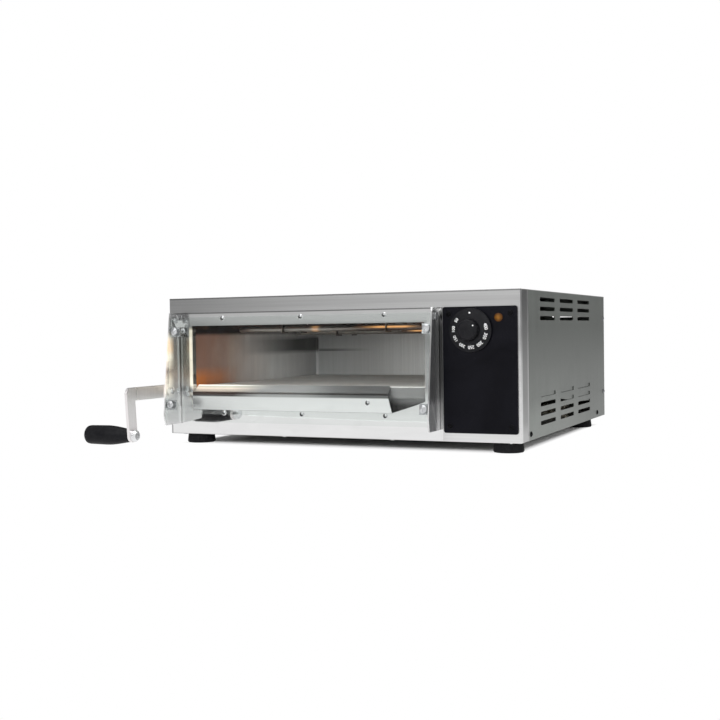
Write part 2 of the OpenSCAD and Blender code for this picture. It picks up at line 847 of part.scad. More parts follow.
module foot_front_left() { foot(foot_inset_x, foot_front_y); }
module foot_front_right() { foot(body_w - foot_inset_x, foot_front_y); }
module foot_rear_left() { foot(foot_inset_x, body_d - foot_rear_y); }
module foot_rear_right() { foot(body_w - foot_inset_x, body_d - foot_rear_y); }

module foot_screws() {
    color("silver") in_body()
        for (p = foot_points) {
            translate([p.x, p.y, -5]) rotate([90, 0, 0])
                screw(5 + sheet_t + 5, bolt_r, bolt_head_r);
            translate([p.x, p.y, sheet_t]) difference() {
                cylinder(r = 6, h = 4, $fn = 6);
                translate([0, 0, -1]) cylinder(r = bolt_r, h = 10);
            }
        }
}

module mouth_screws() {
    color("silver") in_body() for (x = mouth_screw_x, z = mouth_screw_z) {
        translate([x, -sheet_t, z]) screw(3 * sheet_t + 4);
    }
}

module sill_screw() {
    color("silver") in_body()
        translate([sill_screw_x, -sheet_t, sill_screw_z]) screw(2 * sheet_t + 4);
}

module panel_screws() {
    color("#161616") in_body() for (p = panel_screw_points()) {
        translate([p.x, -panel_t, p.y]) screw(panel_t + sheet_t + 6);
    }
}

module side_screws() {
    color("#161616") in_body() for (s = [0, 1], y = side_screw_y) {
        translate([s * body_w, y, side_screw_z]) rotate([0, 0, s ? 90 : -90])
            screw(2 * sheet_t + 5);
    }
}

module base_screws() {
    color("silver") in_body() for (x = base_screw_x()) {
        translate([x, base_screw_y, 0]) rotate([90, 0, 0]) screw(2 * sheet_t + 4);
    }
}

module rear_screws() {
    color("silver") in_body() for (s = [0, 1], z = rear_screw_z) {
        translate([s * body_w, body_d - 8, z]) rotate([0, 0, s ? 90 : -90])
            screw(2 * sheet_t + 5);
    }
}

// --------------------------------------------------------------------------- the door

// an angle on each stile, with an ear that carries the hinge pin
module hinge_brackets() {
    color("silver") in_body() for (side = [0, 1]) mirror_to(side) difference() {
        x = inner_x0 + ear_c;
        union() {
            translate([x, -sheet_t - 1.5, hinge_screw_z - 8])
                cube([14, 1.5, pivot_z - hinge_screw_z + 9]);
            rotate([90, 0, 90]) translate([0, 0, x]) linear_extrude(ear_t) {
                translate([pivot_y, pivot_z]) circle(r = ear_r);
                polygon([
                    [-sheet_t, hinge_screw_z - 8], [-sheet_t, pivot_z + 1],
                    [pivot_y + 0.5, pivot_z + ear_r - 0.4], [pivot_y - ear_r + 0.4, pivot_z],
                    [-sheet_t - 4, hinge_screw_z - 8]
                ]);
            }
        }
        translate([x - 5, pivot_y, pivot_z]) rotate([0, 90, 0]) cylinder(r = pin_d / 2, h = 20);
        translate([hinge_screw_x()[0], 0, hinge_screw_z]) screw_hole(20);
    }
}

// draws children on the left of the door, or mirrored on its right; with the body's
// width as the span, on the left or the right of the body
module mirror_to(side, span = cheek_left + door_x1) {
    if (side == 0) {
        children();
    } else {
        translate([span, 0, 0]) mirror([1, 0, 0]) children();
    }
}

module hinge_pins() {
    color("silver") in_body() for (side = [0, 1]) mirror_to(side)
        translate([0, pivot_y, pivot_z]) rotate([0, 90, 0]) {
            translate([0, 0, cheek_left - ear_c - 1.6]) cylinder(r = 5, h = 1.6);
            translate([0, 0, cheek_left - ear_c])
                cylinder(r = pin_d / 2, h = cheek_t + 2 * ear_c + ear_t + 2);
        }
}

module hinge_screws() {
    color("silver") in_body() for (x = hinge_screw_x()) {
        translate([x, -sheet_t - 1.5, hinge_screw_z]) screw(3 * sheet_t + 5);
    }
}

// a cheek, drawn from y, z outlines: its rear top corner is round about the pivot
module cheek(x) {
    back = -cheek_back;
    translate([x, 0, 0]) rotate([90, 0, 90]) difference() {
        union() {
            linear_extrude(cheek_t) polygon([
                [back, cheek_low_z], [-cheek_low_d + 3, cheek_low_z], [-cheek_low_d, corner_z],
                [-cheek_top_d, cheek_top_z], [pivot_y, cheek_top_z], [pivot_y, pivot_z - 6],
                [back, pivot_z - 6]
            ]);
            linear_extrude(cheek_t) polygon([
                [pivot_y - 8, pivot_z - 30], [back, pivot_z - 30], [back, pivot_z],
                [pivot_y - 8, pivot_z]
            ]);
            translate([pivot_y, pivot_z, 0]) cylinder(r = cheek_top_z - pivot_z, h = cheek_t);
        }
        translate([pivot_y, pivot_z, -1]) cylinder(r = pin_d / 2 + run_c, h = cheek_t + 2);
        if (x < body_w / 4) {
            for (y = bolt_y) {
                translate([y, arm_z, -1]) cylinder(r = bolt_r + hole_c, h = cheek_t + 2);
            }
        }
    }
}

module cheek_left_plate() {
    color("silver") in_body() cheek(cheek_left);
}

module cheek_right_plate() {
    color("silver") in_body() cheek(door_x1 - cheek_t);
}

// moves to the door's sloping front: z runs up the glass, y = 0 is the cheeks' front edge
module on_slope() {
    translate([0, -cheek_low_d, corner_z]) rotate([-slope, 0, 0]) children();
}

module door_glass() {
    color("lightblue", 0.3) in_body() on_slope() difference() {
        translate([inner_x0 + seam_c, glass_inset, glass_low])
            cube([inner_x1 - inner_x0 - 2 * seam_c, glass_t, glass_len]);
        for (side = [0, 1], z = [clamp_low, clamp_high]) {
            mirror_to(side) translate([inner_x0 + clamp_w / 2, glass_inset, z])
                screw_hole(30, bolt_r);
        }
    }
}

module glass_clamps() {
    y0 = glass_inset + glass_t;
    color("silver") in_body() on_slope()
        for (side = [0, 1], z = [clamp_low, clamp_high]) {
            mirror_to(side) translate([inner_x0, y0, z - clamp_h / 2]) difference() {
                union() {
                    cube([clamp_w, clamp_t, clamp_h]);
                    cube([clamp_t, clamp_d, clamp_h]);
                }
                translate([clamp_w / 2, 0, clamp_h / 2]) screw_hole(30, bolt_r);
            }
        }
}

module clamp_bolts() {
    color("silver") in_body() on_slope()
        for (side = [0, 1], z = [clamp_low, clamp_high]) {
            mirror_to(side) translate([inner_x0 + clamp_w / 2, glass_inset, z]) {
                screw(glass_t + 9, bolt_r, bolt_head_r);
                translate([0, glass_t + clamp_t, 0]) rotate([-90, 30, 0]) difference() {
                    cylinder(r = 4.6, h = 4, $fn = 6);
                    translate([0, 0, -1]) cylinder(r = bolt_r, h = 10);
                }
            }
        }
}

// the flat bar: a level arm on the left cheek and a leg down to the grip
module lever_arm() {
    r = bar_w / 2;
    color("lightgray") in_body() translate([bar_x, 0, 0]) rotate([90, 0, 90]) difference() {
        union() {
            translate([bend_y, arm_z - r, 0]) cube([-bend_y - 4, bar_w, bar_t]);
            translate([bend_y, arm_z, 0]) cylinder(r = r, h = bar_t);
            linear_extrude(bar_t) polygon([
                [bend_y - r, arm_z], [bend_y + r, arm_z],
                [foot_y + r, grip_z], [foot_y - r, grip_z]
            ]);
            translate([foot_y, grip_z, 0]) cylinder(r = r, h = bar_t);
        }
        for (y = bolt_y) {
            translate([y, arm_z, -1]) cylinder(r = bolt_r + hole_c, h = bar_t + 2);
        }
        translate([foot_y, grip_z, -1]) cylinder(r = spindle_d / 2, h = bar_t + 2);
    }
}

module lever_bolts() {
    nut_x = inner_x0;
    color("silver") in_body() for (y = bolt_y) translate([0, y, arm_z]) {
        translate([bar_x, 0, 0]) rotate([0, 0, -90])
            screw(bar_t + cheek_t + 4.5, bolt_r, bolt_head_r);
        translate([nut_x, 0, 0]) rotate([0, 90, 0]) difference() {
            cylinder(r = 5, h = 3.5, $fn = 6);
            translate([0, 0, -1]) cylinder(r = bolt_r, h = 10);
        }
    }
}

// the spindle is riveted through the bar, with a zinc collar on its right
module grip_spindle() {
    color("silver") in_body() translate([0, foot_y, grip_z]) rotate([0, 90, 0]) {
        translate([0, 0, bar_x - grip_l + 12]) cylinder(r = spindle_d / 2, h = grip_l - 12 + bar_t);
        translate([0, 0, bar_x + bar_t]) cylinder(r = 8, h = 4);
        translate([0, 0, bar_x + bar_t + 4]) cylinder(r1 = 8, r2 = 5.5, h = 2.5);
    }
}

// the grip swells from its neck at the bar and ends in a dome
module grip() {
    r = grip_d / 2;
    l = grip_l;
    neck = r * 0.66;
    color("#101012") in_body() translate([bar_x - grip_c, foot_y, grip_z]) rotate([0, -90, 0])
        difference() {
            rotate_extrude() polygon(concat(
                [[0, 0], [neck - 1, 0], [neck, 1]],
                [for (i = [1:14]) let (s = i / 14) [
                    neck + (r - neck) * pow(sin(90 * s), 1.15), 1 + l * 0.52 * s
                ]],
                [[r * 0.97, l - r * 0.62]],
                [for (a = [0:10:90]) [r * 0.94 * cos(a), l - r * 0.42 + r * 0.42 * sin(a)]]
            ));
            translate([0, 0, -1]) cylinder(r = spindle_d / 2 + run_c, h = l - 10);
        }
}

base_tray();
front_panel();
outer_cover();
vent_guard();
rear_panel();
rear_tabs();
partition();
mouth_plate();
sill_plate();
sill_support();
chamber_liner();
insulation();
stone_supports();
refractory_stone();
upper_heaters();
lower_heaters();
upper_clips();
lower_clips();
thermostat_probe();
control_panel();
thermostat_body();
thermostat_screws();
pilot_lamp();
lamp_lens();
terminal_block();
cable_gland();
gland_locknut();
foot_front_left();
foot_front_right();
foot_rear_left();
foot_rear_right();
foot_screws();
mouth_screws();
sill_screw();
panel_screws();
side_screws();
base_screws();
rear_screws();
hinge_brackets();
hinge_pins();
hinge_screws();
cheek_left_plate();
cheek_right_plate();
door_glass();
glass_clamps();
clamp_bolts();
lever_arm();
lever_bolts();
grip_spindle();
grip();
knob();
thermostat_shaft();
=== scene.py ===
# %% [markdown]
# # A countertop pizza maker in brushed and polished steel
# This lesson dresses a low electric pizza oven for a studio picture. The steel body, its
# door, its knob and its screws arrive as finished solids in one shared frame, in metres,
# with +Z up and the front towards -Y. What is left for these cells is the look: the grain
# of each sheet, the heat tint of the chamber, the glow of the heaters, the printing on the
# knob, the painted dark lines along the folds, the reflections and shade painted into the
# sheets, and the light they are seen in.

# %% Load the frame
import json
import math

import bpy
import numpy as np
from mathutils import Matrix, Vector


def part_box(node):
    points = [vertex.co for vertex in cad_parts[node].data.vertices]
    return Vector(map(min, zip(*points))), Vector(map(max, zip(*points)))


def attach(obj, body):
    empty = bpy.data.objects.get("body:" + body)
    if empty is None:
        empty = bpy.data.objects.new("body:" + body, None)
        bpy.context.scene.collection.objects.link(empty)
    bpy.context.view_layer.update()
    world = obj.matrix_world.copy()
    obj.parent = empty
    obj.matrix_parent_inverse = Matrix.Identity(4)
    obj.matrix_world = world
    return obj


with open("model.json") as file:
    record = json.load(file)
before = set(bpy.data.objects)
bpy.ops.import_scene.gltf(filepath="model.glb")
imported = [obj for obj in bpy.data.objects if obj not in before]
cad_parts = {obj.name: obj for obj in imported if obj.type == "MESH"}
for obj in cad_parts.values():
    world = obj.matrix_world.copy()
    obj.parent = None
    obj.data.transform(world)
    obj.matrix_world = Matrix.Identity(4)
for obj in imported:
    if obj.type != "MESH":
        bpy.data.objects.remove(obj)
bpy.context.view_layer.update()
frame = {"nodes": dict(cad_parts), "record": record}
nodes = frame["nodes"]

# %% [markdown]
# ## The camera first
# The photograph was taken from the front right, a little below the top of the oven, with a
# short telephoto lens. The camera's place and its three angles were solved from the body's
# corners, so every later comparison with the photograph is made from the same spot. A
# camera looks along its own -Z, so its matrix is built from the view direction.

# %% Camera
IMAGE_SIDE = 720.0
FOCAL_PX = 1100.1
BODY_CORNER = np.array(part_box("front_panel")[0])
CAMERA_PLACE = BODY_CORNER + np.array([0.9264, -1.3519, 0.1468])
YAW, PITCH, ROLL = np.radians([-24.661, -1.538, -0.831])


def camera_axes(yaw, pitch, roll):
    """Right, up and forward: yaw turns about +Z, pitch lifts the view, roll spins about it."""
    right = np.array([np.cos(yaw), -np.sin(yaw), 0.0])
    forward = np.array([
        np.sin(yaw) * np.cos(pitch), np.cos(yaw) * np.cos(pitch), np.sin(pitch)
    ])
    up = np.cross(right, forward)
    turned_right = np.cos(roll) * right + np.sin(roll) * up
    turned_up = -np.sin(roll) * right + np.cos(roll) * up
    return turned_right, turned_up, forward


right, up, forward = camera_axes(YAW, PITCH, ROLL)
lens = bpy.data.cameras.new("studio_camera")
lens.sensor_width = 36.0
lens.lens = FOCAL_PX / IMAGE_SIDE * lens.sensor_width
lens.clip_end = 30.0
camera = bpy.data.objects.new("studio_camera", lens)
bpy.context.scene.collection.objects.link(camera)
matrix = np.eye(4)
matrix[:3, 0], matrix[:3, 1], matrix[:3, 2], matrix[:3, 3] = right, up, -forward, CAMERA_PLACE
camera.matrix_world = Matrix(matrix.tolist())
bpy.context.scene.camera = camera
print("lens", round(lens.lens, 2), "mm")

# %% [markdown]
# ## Shader maths that reads like maths
# A node tree is easier to follow when it is written as an expression. The class below
# wraps one output socket; adding or multiplying two wrapped sockets adds the Math node that
# does it. One function, `add_node`, makes every kind of node from its type, its settings
# and the values of its sockets. A finish object holds one material and calls it by name.


# %% A wrapped socket
class Sock:
    """One output of a node; its operators add Math nodes to the same tree."""

    def __init__(self, tree, socket):
        self.tree = tree
        self.socket = socket

    def maths(self, operation, *values, clamp=False):
        """A Math node on the values, in this socket's tree."""
        settings = {"operation": operation, "use_clamp": clamp}
        return add_node(self.tree, "Math", settings, dict(enumerate(values)))

    def __add__(self, other):
        return self.maths("ADD", self, other)

    def __sub__(self, other):
        return self.maths("SUBTRACT", self, other)

    def __rsub__(self, other):
        return self.maths("SUBTRACT", other, self)

    def __mul__(self, other):
        return self.maths("MULTIPLY", self, other)

    def __truediv__(self, other):
        return self.maths("DIVIDE", self, other)

    def __pow__(self, other):
        return self.maths("POWER", self, other)

    def __abs__(self):
        return self.maths("ABSOLUTE", self)

    __radd__ = __add__
    __rmul__ = __mul__

    def ramp(self, low, high):
        """0 where the value is at or under low, 1 at or over high, straight in between."""
        return self.maths("MULTIPLY", self - low, 1.0 / (high - low), clamp=True)

    def least(self, other):
        return self.maths("MINIMUM", self, other)

    def most(self, other):
        return self.maths("MAXIMUM", self, other)

    def also(self, output):
        """Another output of the same node, by its name or place."""
        return Sock(self.tree, self.socket.node.outputs[output])


print("sockets wrapped")


# %% Making nodes
def plug(tree, value, place):
    """Links a wrapped socket to an input, or sets the input to a plain value."""
    if isinstance(value, Sock):
        tree.links.new(value.socket, place)
    elif value is not None:
        if place.type == "RGBA" and len(value) == 3:
            value = [*value, 1.0]
        place.default_value = value


def set_stops(ramp, stops):
    """Puts the colour stops (place, colour) on a colour ramp."""
    while len(ramp.elements) > 1:
        ramp.elements.remove(ramp.elements[-1])
    ramp.elements[0].position = stops[0][0]
    ramp.elements[0].color = [*stops[0][1], 1.0]
    for place, colour in stops[1:]:
        ramp.elements.new(place).color = [*colour, 1.0]


def add_node(tree, kind, settings=None, sockets=None, out=0):
    """A node of a kind: its settings come first, then its sockets by name or place."""
    made = tree.nodes.new("ShaderNode" + kind)
    for key, value in (settings or {}).items():
        if key == "stops":
            set_stops(made.color_ramp, value)
        else:
            setattr(made, key, value)
    for key, value in (sockets or {}).items():
        plug(tree, value, made.inputs[key])
    return Sock(tree, made.outputs[out])


print("node maker ready")


# %% A finish: one material and the way to build it
class Finish:
    """A material whose surface is set by name, with wrapped nodes to set it from."""

    def __init__(self, name):
        self.name = name
        self.material = bpy.data.materials.new(name)
        self.material.use_nodes = True
        self.tree = self.material.node_tree
        self.shader = self.tree.nodes["Principled BSDF"]

    def node(self, kind, settings=None, sockets=None, out=0):
        """A node in this material."""
        return add_node(self.tree, kind, settings, sockets, out)

    def surface(self, **sockets):
        """Sets the Principled shader's sockets by name (_ stands for a space)."""
        for key, value in sockets.items():
            plug(self.tree, value, self.shader.inputs[key.replace("_", " ")])

    def show(self, factor, first, second):
        """Sends a mix of two shaders to the material's output."""
        mixed = self.node("MixShader", sockets={0: factor, 1: first, 2: second})
        plug(self.tree, mixed, self.tree.nodes["Material Output"].inputs["Surface"])

    def place(self):
        """Object coordinates in metres, as one vector."""
        return self.node("TexCoord", out="Object")

    def axes(self):
        """The three object coordinates, each as a number in metres."""
        x = self.node("SeparateXYZ", sockets={0: self.place()})
        return [x, x.also(1), x.also(2)]

    def noise(self, scale, detail=3.0, stretch=(1, 1, 1), rough=0.5, warp=0.0):
        """Noise on coordinates that are first multiplied, axis by axis, by the stretch."""
        stretched = self.node("Mapping", sockets={"Vector": self.place(), "Scale": stretch})
        return self.node("TexNoise", sockets={
            "Vector": stretched, "Scale": scale, "Detail": detail, "Roughness": rough,
            "Distortion": warp
        })

    def blend(self, mask, a, b):
        """Colour a where the mask is 0 and colour b where it is 1."""
        return self.node("Mix", {"data_type": "RGBA"}, {0: mask, 6: a, 7: b}, out=2)

    def times(self, a, b):
        """The product of two colours."""
        settings = {"data_type": "RGBA", "blend_type": "MULTIPLY"}
        return self.node("Mix", settings, {0: 1.0, 6: a, 7: b}, out=2)

    def bump(self, height, distance, under=None):
        """A bump of a depth in metres, laid over another bump if one is given."""
        sockets = {"Height": height, "Distance": distance, "Normal": under}
        return self.node("Bump", sockets=sockets)

    def body_mm(self):
        """x, y and z in millimetres from the body's lower front left corner."""
        return [(axis - float(c)) * 1000.0 for axis, c in zip(self.axes(), BODY_CORNER)]

    def ladder(self, value, stops):
        """A colour that runs through (place, level or colour) stops as the value rises."""
        low, high = stops[0][0], stops[-1][0]
        spread = [
            ((place - low) / (high - low), [c] * 3 if isinstance(c, float) else c)
            for place, c in stops
        ]
        return self.node("ValToRGB", {"stops": spread}, {0: value.ramp(low, high)})


print("finish ready, in mm from", BODY_CORNER.round(4))


# %% Masks and shades
def window(value, start, full, last, end):
    """0 outside start..end, 1 within full..last, straight slopes between."""
    return value.ramp(start, full) * (1.0 - value.ramp(last, end))


def shade(colour, factor):
    """A colour made lighter or darker by a factor."""
    return [min(1.0, c * factor) for c in colour]


def tell(kind, *finishes):
    """Prints the names of the finishes that a cell has made."""
    print(kind + ":", ", ".join(finish.name for finish in finishes))


BLACK, WHITE = [0.0, 0.0, 0.0], [1.0, 1.0, 1.0]
print("masks and shades ready")

# %% [markdown]
# ## Brushed sheet
# Stainless sheet is ground with a belt, which leaves fine lines all one way. At this
# distance the single scratches are too fine to see; what shows is their sum, soft streaks
# a few millimetres wide that run the length of the sheet, and a reflection smeared across
# them. So the finish adds two stretched noises, one fine and one broad, to the colour, the
# roughness and a very shallow bump, with a third, round noise for finger marks. The top of
# the cover is ground from front to back, so its streaks turn there, and are fainter.
#
# Sheet metal also mirrors the room in slow steps from light to dark. Those steps are a tone
# that multiplies the colour: a ladder of levels at heights or widths in millimetres, from
# the body's lower front left corner.


# %% Brushed steel
TOP_FOLD = (195.5, 196.5)  # heights in mm between which the walls fold over into the top


def belt_lines(finish, grain):
    """Fine and broad streaks along one axis (0 x, 1 y, 2 z): noise squeezed across it."""
    fine_stretch = [900.0, 900.0, 900.0]
    fine_stretch[grain] = 6.0
    broad_stretch = [90.0, 90.0, 90.0]
    broad_stretch[grain] = 1.2
    fine = finish.noise(1.0, 2.0, fine_stretch)
    broad = finish.noise(1.0, 3.0, broad_stretch)
    return fine * 0.45 + broad * 0.55


def brushed(name, colour, grain, rough=0.34, contrast=0.10, smudge=0.05, tone=None,
            top_grain=None):
    """Steel brushed along one axis, and on the top of the body along another if given."""
    finish = Finish(name)
    grainy = belt_lines(finish, grain)
    if top_grain is not None:
        on_top = finish.body_mm()[2].ramp(*TOP_FOLD)
        faint = belt_lines(finish, top_grain) * 0.4 + 0.3
        grainy = grainy * (1.0 - on_top) + faint * on_top
    marks = finish.noise(9.0, 4.0, rough=0.6, warp=0.4).ramp(0.48, 0.75)
    lighter = shade(colour, 1.0 + contrast)
    darker = shade(colour, 1.0 - contrast)
    base = finish.blend(grainy.ramp(0.32, 0.68), darker, lighter)
    base = finish.blend(marks * smudge, base, shade(colour, 0.72))
    # The tone is a painted reflection of the room, multiplied into the colour.
    if tone:
        base = finish.times(base, tone(finish))
    finish.surface(
        Base_Color=base, Metallic=1.0,
        Roughness=(grainy - 0.5) * 0.22 + rough + marks * smudge,
        Normal=finish.bump(grainy, 0.00004)
    )
    return finish


print("the top folds over at", TOP_FOLD, "mm")


# %% The fascia
def fascia_tone(finish):
    """Painted reflection: darker to the left, bright low down, a painted dark line along the top,
    a dark side return.
    """
    x, y, z = finish.body_mm()
    along = finish.ladder(x, [
        (0.0, 0.37), (60.0, 0.40), (220.0, 0.535), (410.0, 0.63), (500.0, 0.66)
    ])
    strip = finish.ladder(z, [
        (14.0, 0.98), (55.0, 0.92), (106.0, 0.78), (140.0, 0.54), (172.0, 0.64), (190.0, 0.66)
    ])
    right_of_panel = x.ramp(514.0, 518.0)
    tone = finish.blend(right_of_panel, along, strip)
    low = finish.ladder(x, [(0.0, 0.60), (330.0, 0.63), (440.0, 1.0), (530.0, 1.0)])
    tone = finish.blend(1.0 - z.ramp(14.0, 42.0), tone, low)
    # Painted dark line along the top fold.
    edge = z.ramp(194.6, 195.6) * (1.0 - y.ramp(1.5, 3.0))
    tone = finish.blend(edge * 0.6, tone, [0.1, 0.1, 0.1])
    side = finish.ladder(z, [(10.0, 0.62), (26.0, 0.40), (60.0, 0.31), (180.0, 0.30)])
    side = finish.blend(y.ramp(29.0, 32.0), side, [0.56, 0.56, 0.56])
    side = finish.blend(z.ramp(*TOP_FOLD), side, [0.7, 0.7, 0.7])
    behind_the_fold = y.ramp(6.0, 9.0)
    return finish.blend(behind_the_fold, tone, side)


fascia_steel = brushed("fascia_steel", [0.78, 0.78, 0.78], 0, rough=0.34, tone=fascia_tone)
tell("brushed", fascia_steel)


# %% The cover
def cover_tone(finish):
    """Painted reflection: the side is darkest at half height, where it faces the empty end of the
    room, and the top is painted about twice as light.
    """
    _, y, z = finish.body_mm()
    front = finish.ladder(z, [
        (0.0, 0.95), (30.0, 0.90), (52.0, 0.70), (100.0, 0.64), (150.0, 0.72), (185.0, 1.0)
    ])
    rear = finish.ladder(z, [
        (0.0, 0.58), (52.0, 0.52), (100.0, 0.62), (150.0, 0.72), (185.0, 1.0)
    ])
    tone = finish.blend(y.ramp(120.0, 380.0), front, rear)
    # The top is painted about twice as light as the side.
    return finish.blend(z.ramp(*TOP_FOLD), tone, [2.0, 1.93, 2.0])


cover_steel = brushed(
    "cover_steel", [0.285, 0.305, 0.285], 2, rough=0.40, contrast=0.10, tone=cover_tone,
    top_grain=1
)
tell("brushed", cover_steel)

# %% Tray, brackets and lever
tray_steel = brushed("tray_steel", [0.52, 0.52, 0.51], 1, rough=0.42)
bracket_steel = brushed("bracket_steel", [0.50, 0.50, 0.50], 1, rough=0.38, contrast=0.06)
lever_steel = brushed("lever_steel", [0.86, 0.83, 0.83], 2, rough=0.3, contrast=0.07)
tell("brushed", tray_steel, bracket_steel, lever_steel)

# %% [markdown]
# ## Polished sheet
# The mouth plate, the sill and the door's cheeks are bright polished sheet. A mirror of
# thin sheet is never flat: it bends the reflections a little, and cloths leave hairline
# swirls. A broad, shallow noise in the bump gives the first, and a stretched noise in the
# roughness the second. What the sheets mirror is a tone, as on the brushed ones. Where they
# catch the heaters' light they glow a little in cream, which on the cheeks turns to amber
# just below the heaters.


# %% Polished steel
CREAM = [1.0, 0.93, 0.76]
AMBER = [1.0, 0.62, 0.32]


def polished(name, colour, rough=0.07, wobble=0.0006, tone=None, warm=None, lean=None,
             metal=1.0, amber_share=0.0):
    """Bright sheet: almost smooth, with slow waves in its surface and faint wipe marks."""
    finish = Finish(name)
    waves = finish.noise(7.0, 1.5, warp=0.6)
    wipes = finish.noise(1.0, 4.0, (14.0, 14.0, 70.0), warp=0.5)
    spots = finish.noise(38.0, 5.0, rough=0.65).ramp(0.56, 0.80)
    base = finish.blend(wipes.ramp(0.35, 0.7), shade(colour, 0.95), colour)
    base = finish.blend(spots * 0.35, base, shade(colour, 0.80))
    # The tone is a painted reflection, multiplied into the colour.
    if tone:
        base = finish.times(base, tone(finish))
    normal = finish.bump(waves, wobble)
    if lean:
        normal = finish.bump(lean(finish), 0.001, normal)
    finish.surface(
        Base_Color=base, Metallic=metal, Normal=normal,
        Roughness=wipes * 0.06 + spots * 0.08 + rough
    )
    # Painted reflection of the heaters' glow: a faint emission, cream, and amber on the cheeks.
    if warm:
        glow = warm(finish) * (wipes * 0.8 + 0.6)
        height = finish.body_mm()[2]
        amber_part = window(height, 114.0, 122.0, 134.0, 142.0) * amber_share
        light = finish.blend(amber_part, CREAM, AMBER)
        finish.surface(Emission_Color=finish.blend(glow, BLACK, light), Emission_Strength=0.75)
    return finish


polished_steel = polished("polished_steel", [0.80, 0.80, 0.80])
tell("polished", polished_steel)


# %% The mouth plate
def plate_tone(finish):
    """Painted reflection around the mouth: white near the floor, grey above it, darkest on the
    right stile and in the upper left corner, with a painted shadow line along the top edge.
    """
    x, _, z = finish.body_mm()
    left = finish.ladder(z, [
        (30.0, 0.93), (50.0, 0.92), (64.0, 0.72), (84.0, [0.54, 0.52, 0.49]),
        (104.0, [0.34, 0.35, 0.32]), (130.0, [0.32, 0.33, 0.31]), (158.0, 0.60), (170.0, 0.84)
    ])
    right = finish.ladder(z, [
        (30.0, 0.93), (52.0, 0.80), (70.0, 0.46), (120.0, 0.50), (152.0, 0.50), (160.0, 0.88),
        (170.0, 0.92)
    ])
    stile = finish.ladder(z, [
        (14.0, 0.9), (30.0, 0.5), (60.0, 0.30), (80.0, 0.15), (150.0, 0.14), (172.0, 0.6)
    ])
    tone = finish.blend(x.ramp(30.0, 120.0), left, right)
    tone = finish.blend(x.ramp(420.0, 421.5), tone, stile)
    corner = (1.0 - x.ramp(30.0, 36.0)) * z.ramp(138.0, 150.0)
    tone = finish.blend(corner * 0.6, tone, [0.14, 0.14, 0.15])
    # Painted shadow line along the top edge of the plate.
    shadow_line = z.ramp(173.6, 174.4) * 0.75
    return finish.blend(shadow_line, tone, [0.1, 0.1, 0.1])


def plate_warm(finish):
    """The heaters' light on the edge of the mouth, down its left side."""
    x, y, z = finish.body_mm()
    edge = window(x, 32.8, 34.5, 38.6, 40.0) * (1.0 - y.ramp(0.2, 0.8))
    return edge * window(z, 64.0, 72.0, 150.0, 156.0)


def strip_lean(finish):
    """The lower strip is dished a little: a slope to the right and down, near its left end."""
    x, _, z = finish.body_mm()
    slope = (x.least(130.0) * 0.075 + z * 0.05) * (1.0 - z.ramp(40.0, 60.0))
    return slope * (1.0 - x.ramp(130.0, 330.0))


plate_polish = polished("plate_polish", [0.86, 0.86, 0.86], 0.015, 0.0003,
                        plate_tone, plate_warm, strip_lean)
tell("polished", plate_polish)


# %% The sill and its ramp
def sill_warm(finish):
    """The same light along the rear edge of the ramp, dying out to the right."""
    x, _, z = finish.body_mm()
    return (1.0 - x.ramp(95.0, 165.0)) * z.ramp(64.0, 69.0)


def sill_tone(finish):
    """Painted reflection on the ramp: a light band between two dark lines at the left, grey
    further right.
    """
    x, _, z = finish.body_mm()
    left = finish.ladder(z, [
        (54.0, 0.9), (55.5, 0.10), (60.0, [0.14, 0.10, 0.09]), (63.0, [0.85, 0.74, 0.64]),
        (66.5, [0.85, 0.74, 0.64]), (68.2, 0.22), (69.2, 0.22), (70.0, 0.9)
    ])
    right = finish.ladder(x, [
        (130.0, 0.50), (215.0, 0.48), (265.0, 0.24), (300.0, 0.18), (350.0, 0.18)
    ])
    ramp = finish.blend(x.ramp(105.0, 150.0), left, right)
    return finish.blend(z.ramp(54.0, 56.0), WHITE, ramp)


sill_polish = polished("sill_polish", [0.98, 0.98, 0.98], 0.26, 0.0004, sill_tone, sill_warm)
_, depth, height = sill_polish.body_mm()
on_ramp = depth.ramp(1.0, 3.0) * height.ramp(54.0, 57.0)
sill_polish.surface(Metallic=1.0 - on_ramp * 0.6)
tell("polished", sill_polish)


# %% The cheeks
def cheek_tone(finish):
    """Painted reflection of the mouth in the cheeks: grey, warm at half height, a painted
    highlight along the rear edge, and a painted white streak low on the right cheek.
    """
    x, y, z = finish.body_mm()
    left = finish.ladder(z, [
        (15.0, 0.85), (30.0, 0.80), (42.0, 0.90), (58.0, 0.78), (86.0, [0.66, 0.56, 0.49]),
        (122.0, [0.54, 0.49, 0.45]), (150.0, 0.45), (168.0, 0.36), (176.0, 0.60)
    ])
    # Painted highlight along the rear edge of the left cheek.
    left = finish.blend(window(y, -9.5, -7.0, -5.0, -3.0), left, WHITE)
    right = finish.ladder(z, [
        (15.0, 0.62), (34.0, 0.72), (48.0, 0.60), (58.0, 0.26), (120.0, 0.24), (150.0, 0.25),
        (170.0, 0.32), (173.0, 1.0)
    ])
    # Painted reflection: a white streak low on the right cheek.
    off_streak = abs(y + z * 0.42 + 8.0)
    painted_streak = (1.0 - off_streak.ramp(1.2, 3.2)) * (1.0 - z.ramp(46.0, 54.0))
    right = finish.blend(painted_streak, right, WHITE)
    right_half = x.ramp(200.0, 201.0)
    return finish.blend(right_half, left, right)


def cheek_warm(finish):
    """The glow of the heaters in the front edge of the left cheek."""
    x, y, z = finish.body_mm()
    upper = window(z, 92.0, 112.0, 134.0, 150.0) * 1.3
    lower = window(z, 52.0, 62.0, 80.0, 92.0) * 0.6
    return (1.0 - y.ramp(-31.0, -16.0)) * (upper + lower) * (1.0 - x.ramp(60.0, 90.0))


cheek_polish = polished("cheek_polish", [0.86, 0.86, 0.86], 0.16, 0.0006,
                        cheek_tone, cheek_warm, metal=0.72, amber_share=0.8)
tell("polished", cheek_polish)

